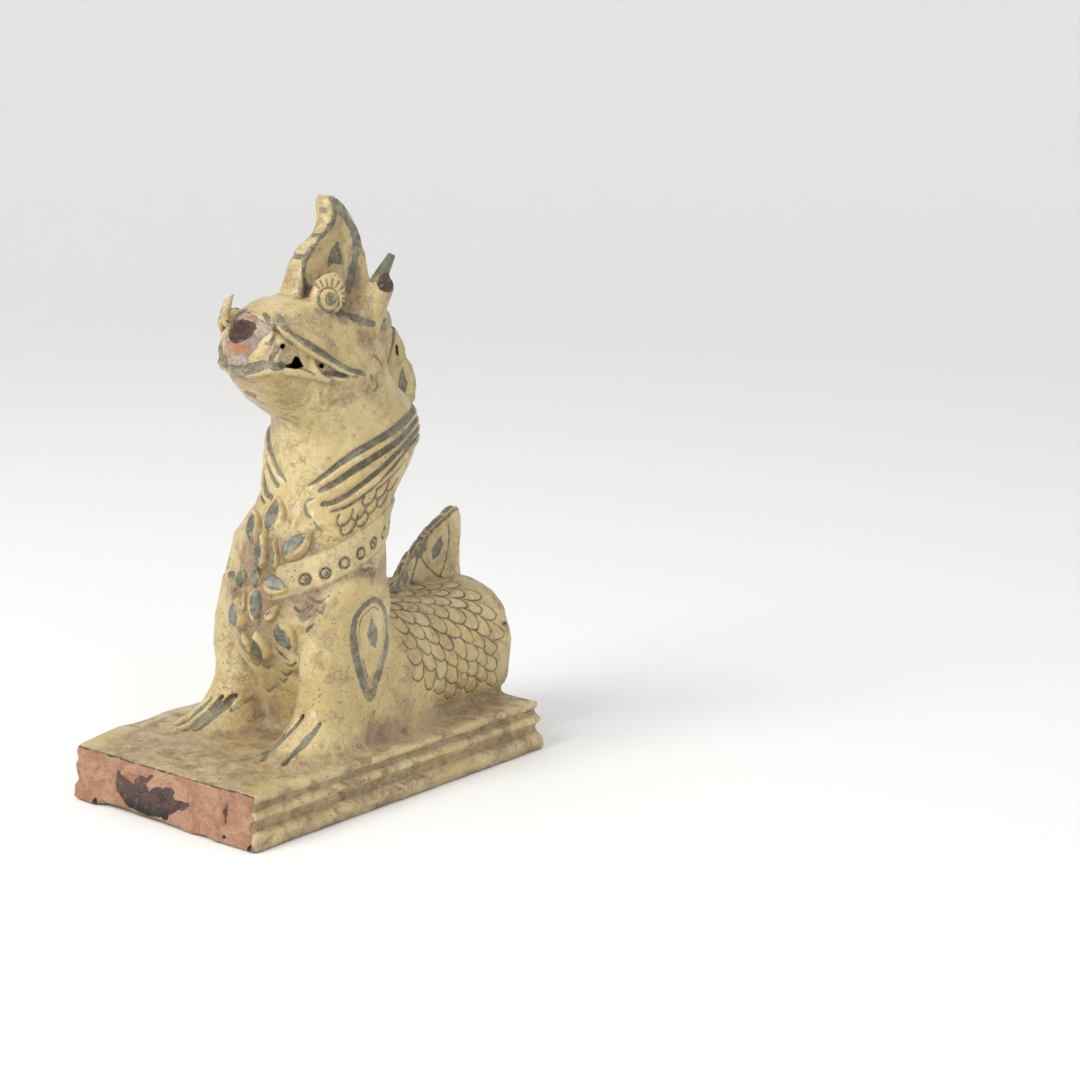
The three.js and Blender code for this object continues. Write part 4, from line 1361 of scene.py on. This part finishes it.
def glazedClay(name):
    f = Finish(name)
    ink, scratch, bare, burnt, crust, hole = (f.value(n) for n in ("ink", "scratch", "bare", "burnt",
        "crust", "hole"))
    hollow, sheltered, settledDirtAndShade = f.value("hollow"), f.value("sheltered"), f.value("settledDirtAndShade")
    high = f.node("ShaderNodeSeparateXYZ", inputs={0: f.place}, out="Z")
    soft, mid, fineGrain = f.noise(20, 4, 0.6), f.noise(85, 5, 0.64, 0.5), f.noise(430, 3, 0.6)
    streak, cloud = f.noise(170, 4, 0.66, 0.8), f.noise(34, 5, 0.7, 1.0)
    # glaze, from pale where it lies thick to ochre where it ran thin
    colour = f.mix(f.step(soft + (mid - 0.5) * 0.5, 0.40, 0.62), glaze["straw"], glaze["pale"])
    colour = f.mix(f.step(mid + (soft - 0.5) * 0.4, 0.52, 0.70) * 0.8, colour, glaze["ochre"])
    colour = f.mix(f.step(streak, 0.56, 0.72) * 0.55, colour, glaze["pale"])
    # dirt and painted shade: a haze of dirt in clouds, with dirt and painted shade thicker in hollows, in
    # sheltered places and in the settled places
    low = f.step(high, 0.056, 0.038)
    wiped = settledDirtAndShade.least(0.0)
    haze = f.step(cloud + (streak - 0.5) * 0.5 + wiped * 0.5, 0.42, 0.64) * (0.5 + low * 0.22)
    # hollow and sheltered measure how enclosed the skin is, so this darkening is painted shade as well as dirt
    dirtAndShade = f.step(hollow + (cloud - 0.5) * 0.5 + (fineGrain - 0.5) * 0.25, 0.02, 0.34)
    shelter = f.step(sheltered + (cloud - 0.5) * 0.8 + wiped * 0.6, 0.10, 0.46)
    thick = f.step(settledDirtAndShade + (cloud - 0.5) * 0.5 + (streak - 0.5) * 0.35, 0.10, 0.44)
    dustAndShade = (dirtAndShade * 0.82).most(shelter * 0.72).most(thick * 0.88).most(haze)
    dirtAndShadeTint = f.mix(f.step(mid + (soft - 0.5) * 0.6, 0.38, 0.62), glaze["mauve"], glaze["brown"])
    colour = f.mix(dustAndShade, colour, dirtAndShadeTint)
    # the deepest hollows and the darkest settled places turn to soot: painted shade, with some dirt
    deepShadeAndDirt = f.step(settledDirtAndShade + hollow * 0.8 + (mid - 0.5) * 0.3, 0.52, 0.95)
    colour = f.mix(deepShadeAndDirt * 0.9, colour, glaze["soot"])
    # paler edges (painted highlight and glaze worn thin), chalky scuffs, crackle and pinholes
    edge = f.step(hollow + (mid - 0.5) * 0.4, -0.16, -0.42)
    colour = f.mix(edge * 0.5, colour, glaze["pale"])
    scuff = f.step(f.noise(120, 5, 0.7, 1.5) + edge * 0.06, 0.63, 0.70)
    colour = f.mix(scuff * 0.6, colour, glaze["chalk"])
    crackle = f.cells(190, "DISTANCE_TO_EDGE")
    lines = f.step(crackle + (fineGrain - 0.5) * 0.03, 0.04, 0.008) * f.step(cloud, 0.48, 0.60)
    colour = f.mix(lines * 0.4, colour, glaze["brown"])
    pinholes = f.step(f.cells(260) + (fineGrain - 0.5) * 0.1, 0.17, 0.09) * f.step(f.noise(55, 2), 0.48,
        0.56)
    colour = f.mix(pinholes * 0.85, colour, glaze["soot"])
    specks = f.step(f.noise(640, 2, 0.7), 0.56, 0.70)
    colour = f.mix(specks * 0.38, colour, glaze["brown"])
    brushMarks = f.noise(46, 4, 0.75, 2.2)
    colour = f.mix(f.step(brushMarks, 0.53, 0.60) * f.step(brushMarks, 0.68, 0.61) * 0.16, colour,
        glaze["chalk"])
    # brushed slate lines, thin in places
    patchy = f.step(streak + (fineGrain - 0.5) * 0.5, 0.34, 0.54)
    brushed = f.step(ink + (mid - 0.5) * 1.9 + (fineGrain - 0.5) * 1.3, 0.35, -0.35)
    slate = f.mix(f.step(mid + (soft - 0.5), 0.40, 0.68), glaze["slate"], glaze["slatePale"])
    slate = f.mix(f.step(cloud, 0.52, 0.70) * 0.45, slate, glaze["brown"])
    flooded = f.step(ink, -2.6, -5)
    slate = f.mix(flooded * 0.75, slate, glaze["slate"])
    colour = f.mix(brushed * (patchy * 0.5 + 0.46).most(flooded * 0.93), colour, slate)
    thinLine = f.step(scratch + (streak - 0.5) * 0.9, 0.40, -0.25)
    scored = f.mix(f.step(mid + (streak - 0.5) * 0.6, 0.42, 0.60), glaze["soot"], glaze["slate"])
    colour = f.mix(thinLine * (0.34 + 0.5 * patchy), colour, scored)
    dark = f.step(burnt + (fineGrain - 0.5) * 0.7, 0.25, -0.25)
    colour = f.mix(dark * 0.88, colour, f.mix(f.step(streak, 0.4, 0.6), glaze["soot"], glaze["brown"]))
    # bare fired clay, burnt and crusted in places
    gone = f.step(bare + (fineGrain - 0.5) * 0.9, 0.12, -0.12)
    clayTint = f.mix(f.step(mid + (soft - 0.5) * 0.5, 0.38, 0.62), fired["salmon"], fired["pale"])
    clayTint = f.mix(f.step(cloud, 0.55, 0.72) * 0.45, clayTint, glaze["brown"])
    clayTint = f.mix(f.step(f.cells(230), 0.30, 0.08) * f.step(fineGrain, 0.50, 0.60), clayTint,
        fired["fleck"])
    clayTint = f.mix(f.step(f.noise(310, 3), 0.58, 0.70) * 0.8, clayTint, fired["red"])
    chalky = f.step(crust + (streak - 0.5) * 1.5, 0.3, -0.3)
    crustTint = f.mix(f.step(mid + (fineGrain - 0.5) * 0.5, 0.40, 0.62), fired["crust"], fired["fleck"])
    crustTint = f.mix(f.step(streak, 0.56, 0.70) * 0.6, crustTint, glaze["mauve"])
    clayTint = f.mix(chalky, clayTint, crustTint)
    black = f.step(high + (mid - 0.5) * 0.02, 0.018,
        0.006).most(f.step(mid + (fineGrain - 0.5) * 0.4, 0.48, 0.64) * 0.7)
    charred = f.mix(black, fired["burntRed"], fired["burnt"])
    charred = f.mix(f.step(streak + (fineGrain - 0.5) * 0.3, 0.56, 0.70) * 0.6, charred, fired["crust"])
    clayTint = f.mix(dark, clayTint, charred)
    colour = f.mix(gone, colour, clayTint)
    lip = f.step((bare - 0.3).size() + (fineGrain - 0.5) * 0.5, 0.60, 0.15) * f.step(mid, 0.44, 0.60)
    colour = f.mix(lip * 0.75, colour, glaze["soot"])
    # holes and the open mouth go near black: painted shade
    deep = f.step(hole + (fineGrain - 0.5) * 0.3, 0.25, -0.25)
    colour = f.mix(deep, colour, fired["hole"])
    # sheen and small relief
    rough = 0.36 + 0.18 * mid + 0.26 * dustAndShade + 0.1 * lines - 0.08 * brushed
    rough = (rough * (1 - gone) + gone * 0.88) * (1 - deep) + deep * 0.9
    height = mid * 0.6 + streak * 0.35 + fineGrain * 0.2 + scuff * 0.15
    height = height - pinholes * 0.5 - lines * 0.25 - thinLine * 0.35
    height = height + gone * (f.noise(900, 3) * 0.8 + f.cells(420) * 0.6)
    return f.close(colour, rough, f.bump(height, 0.0013), (1 - gone) * (1 - dustAndShade) * (1 - deep) * 0.35)


def petalGlaze(name):
    f = Finish(name)
    fromMiddle, fromEdge = f.value("fromMiddle"), f.value("fromEdge")
    soft, mid, fineGrain = f.noise(70, 3), f.noise(190, 4, 0.62, 0.5), f.noise(520, 3)
    rim = f.mix(f.step(mid, 0.46, 0.66) * 0.6, glaze["straw"], glaze["ochre"])
    rim = f.mix(f.step(soft, 0.48, 0.66), rim, glaze["pale"])
    rim = f.mix(f.step(f.noise(110, 4, 0.7, 1.0), 0.44, 0.62) * 0.7, rim, glaze["mauve"])
    pool = f.mix(f.step(mid + (soft - 0.5) * 0.8, 0.38, 0.64), glaze["slate"], glaze["slatePale"])
    pool = f.mix(f.step(f.noise(240, 4, 0.7), 0.56, 0.68) * 0.4, pool, glaze["brown"])
    inner = f.step(fromMiddle + (mid - 0.5) * 0.9 + (fineGrain - 0.5) * 0.4, 1.06, 0.88)
    colour = f.mix(inner, rim, pool)
    groove = f.step((fromMiddle - 1.04).size() + (fineGrain - 0.5) * 0.08, 0.12, 0.02)
    colour = f.mix(groove * 0.55, colour, glaze["soot"])
    foot = f.step(fromEdge + (mid - 0.5) * 0.2, 0.20, 0.04)
    colour = f.mix(foot * 0.9, colour, f.mix(f.step(mid, 0.4, 0.6), glaze["brown"], glaze["mauve"]))
    colour = f.mix(f.step(f.cells(420), 0.14, 0.07) * 0.8, colour, glaze["soot"])
    rough = 0.46 + 0.2 * mid - 0.10 * inner + 0.3 * foot
    return f.close(colour, rough, f.bump(mid * 0.6 + fineGrain * 0.25, 0.0009), 0.08 + inner * 0.14)


def studGlaze(name):
    f = Finish(name)
    mid, fineGrain = f.noise(260, 4, 0.6), f.noise(800, 3)
    colour = f.mix(f.step(mid, 0.46, 0.62), glaze["slate"], glaze["slatePale"])
    return f.close(colour, 0.42 + 0.25 * mid, f.bump(mid * 0.6 + fineGrain * 0.2, 0.0004), 0.3 + 0.3 * mid)


beastMesh.materials.append(glazedClay("glazedClay"))
print("finishes mixed")

petalSpots = {}
for turn, height, halfWide, halfHigh, lean, proud, kind in petals["set"]:
    at, out = skinSpot(turn, height, petals["sunk"])
    size = np.array([halfWide, halfHigh, proud]) * 0.001
    petalSpots.setdefault(kind, []).append((at, lieOf(out, lean), size))
petalFinish = petalGlaze("petalGlaze")
tree = scatterTree("petalsOnPoints", {"Petal": "Object", "Swell": "Float"}, petalAndScale)
chestPieces = []
for kind, spots in petalSpots.items():
    template = petalTemplate(kind)
    values = {"Petal": template, "Swell": 1.0, "Material": petalFinish}
    chestPieces.append(scattered("chestPetals." + kind, spots, tree, values))
    bpy.data.objects.remove(template)
studSpots = []
for turn in [*rings["turns"], *-rings["turns"]]:
    height = np.interp(abs(turn), strapPath[:, 0], strapPath[:, 1])
    at, out = skinSpot(turn, height, 0.9 - strap["proud"])
    studSpots.append((at, lieOf(out, 0), np.ones(3)))
tree = scatterTree("studsAlongStrap", {"Stud radius": "Float", "Stud height": "Float"}, studAndScale)
studs = scattered("strapStuds", studSpots, tree, {**studSizes, "Material": studGlaze("studGlaze")})
print("petals and studs laid")

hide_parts("ridge_beast")
for piece in (beast, *chestPieces, studs):
    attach(piece, "root")

# studio

studio = {
    "cameraAt": (1.17608, -1.27074, 0.55591),
    "cameraTurn": (77.75936, -1.09204, 37.60363),
    "lens": 80,
    "sky": 0.84,
    # floor of paper that sweeps up all round: distance, height
    "paper": [(0, 0), (2.6, 0), (3.0, 0.03), (3.4, 0.13), (3.75, 0.32), (4.05, 0.62), (4.25, 1.0),
        (4.35, 1.5), (4.4, 3.2)],
    "round": 72,
}
lamps = {  # place, size, watts, tint
    "key": ((-0.35, -1.9, 1.75), 1.3, 44, (1.0, 0.985, 0.96)),
    "fill": ((2.0, -0.6, 0.9), 1.6, 7, (0.97, 0.985, 1.0)),
}
lampsFace = Vector((0, 0, 0.2))

scene = bpy.context.scene
lens = bpy.data.cameras.new("camera")
lens.lens, lens.sensor_width, lens.clip_end = studio["lens"], 36, 50
camera = bpy.data.objects.new("camera", lens)
turned = Euler([math.radians(angle) for angle in studio["cameraTurn"]])
camera.matrix_world = Matrix.LocRotScale(Vector(studio["cameraAt"]), turned, None)
scene.collection.objects.link(camera)
scene.camera = camera
for name, (at, size, watts, tint) in lamps.items():
    light = bpy.data.lights.new(name, "AREA")
    light.shape, light.size, light.energy, light.color = "DISK", size, watts, tint
    lamp = bpy.data.objects.new(name, light)
    lamp.location = at
    lamp.rotation_euler = (lampsFace - Vector(at)).to_track_quat("-Z", "Y").to_euler()
    scene.collection.objects.link(lamp)
world = bpy.data.worlds.new("studio")
world.use_nodes = True
background = world.node_tree.nodes["Background"].inputs
background["Color"].default_value, background["Strength"].default_value = (1, 1, 1, 1), studio["sky"]
scene.world = world
scene.view_settings.view_transform = "Standard"

around = np.linspace(0, 2 * math.pi, studio["round"], endpoint=False)
points = [(0, 0, 0)] + [(r * math.cos(t), r * math.sin(t), h) for r,
    h in studio["paper"][1:] for t in around]
faces = ringFaces(studio["round"], len(studio["paper"]) - 1)
floor = newPiece("floor", points, [face[::-1] for face in faces])
floor.data.shade_smooth()
paper = Finish("paper")
floor.data.materials.append(paper.close((0.86, 0.86, 0.855, 1.0), 0.9, paper.bump(paper.noise(60), 0.0002)))

print("studio set")
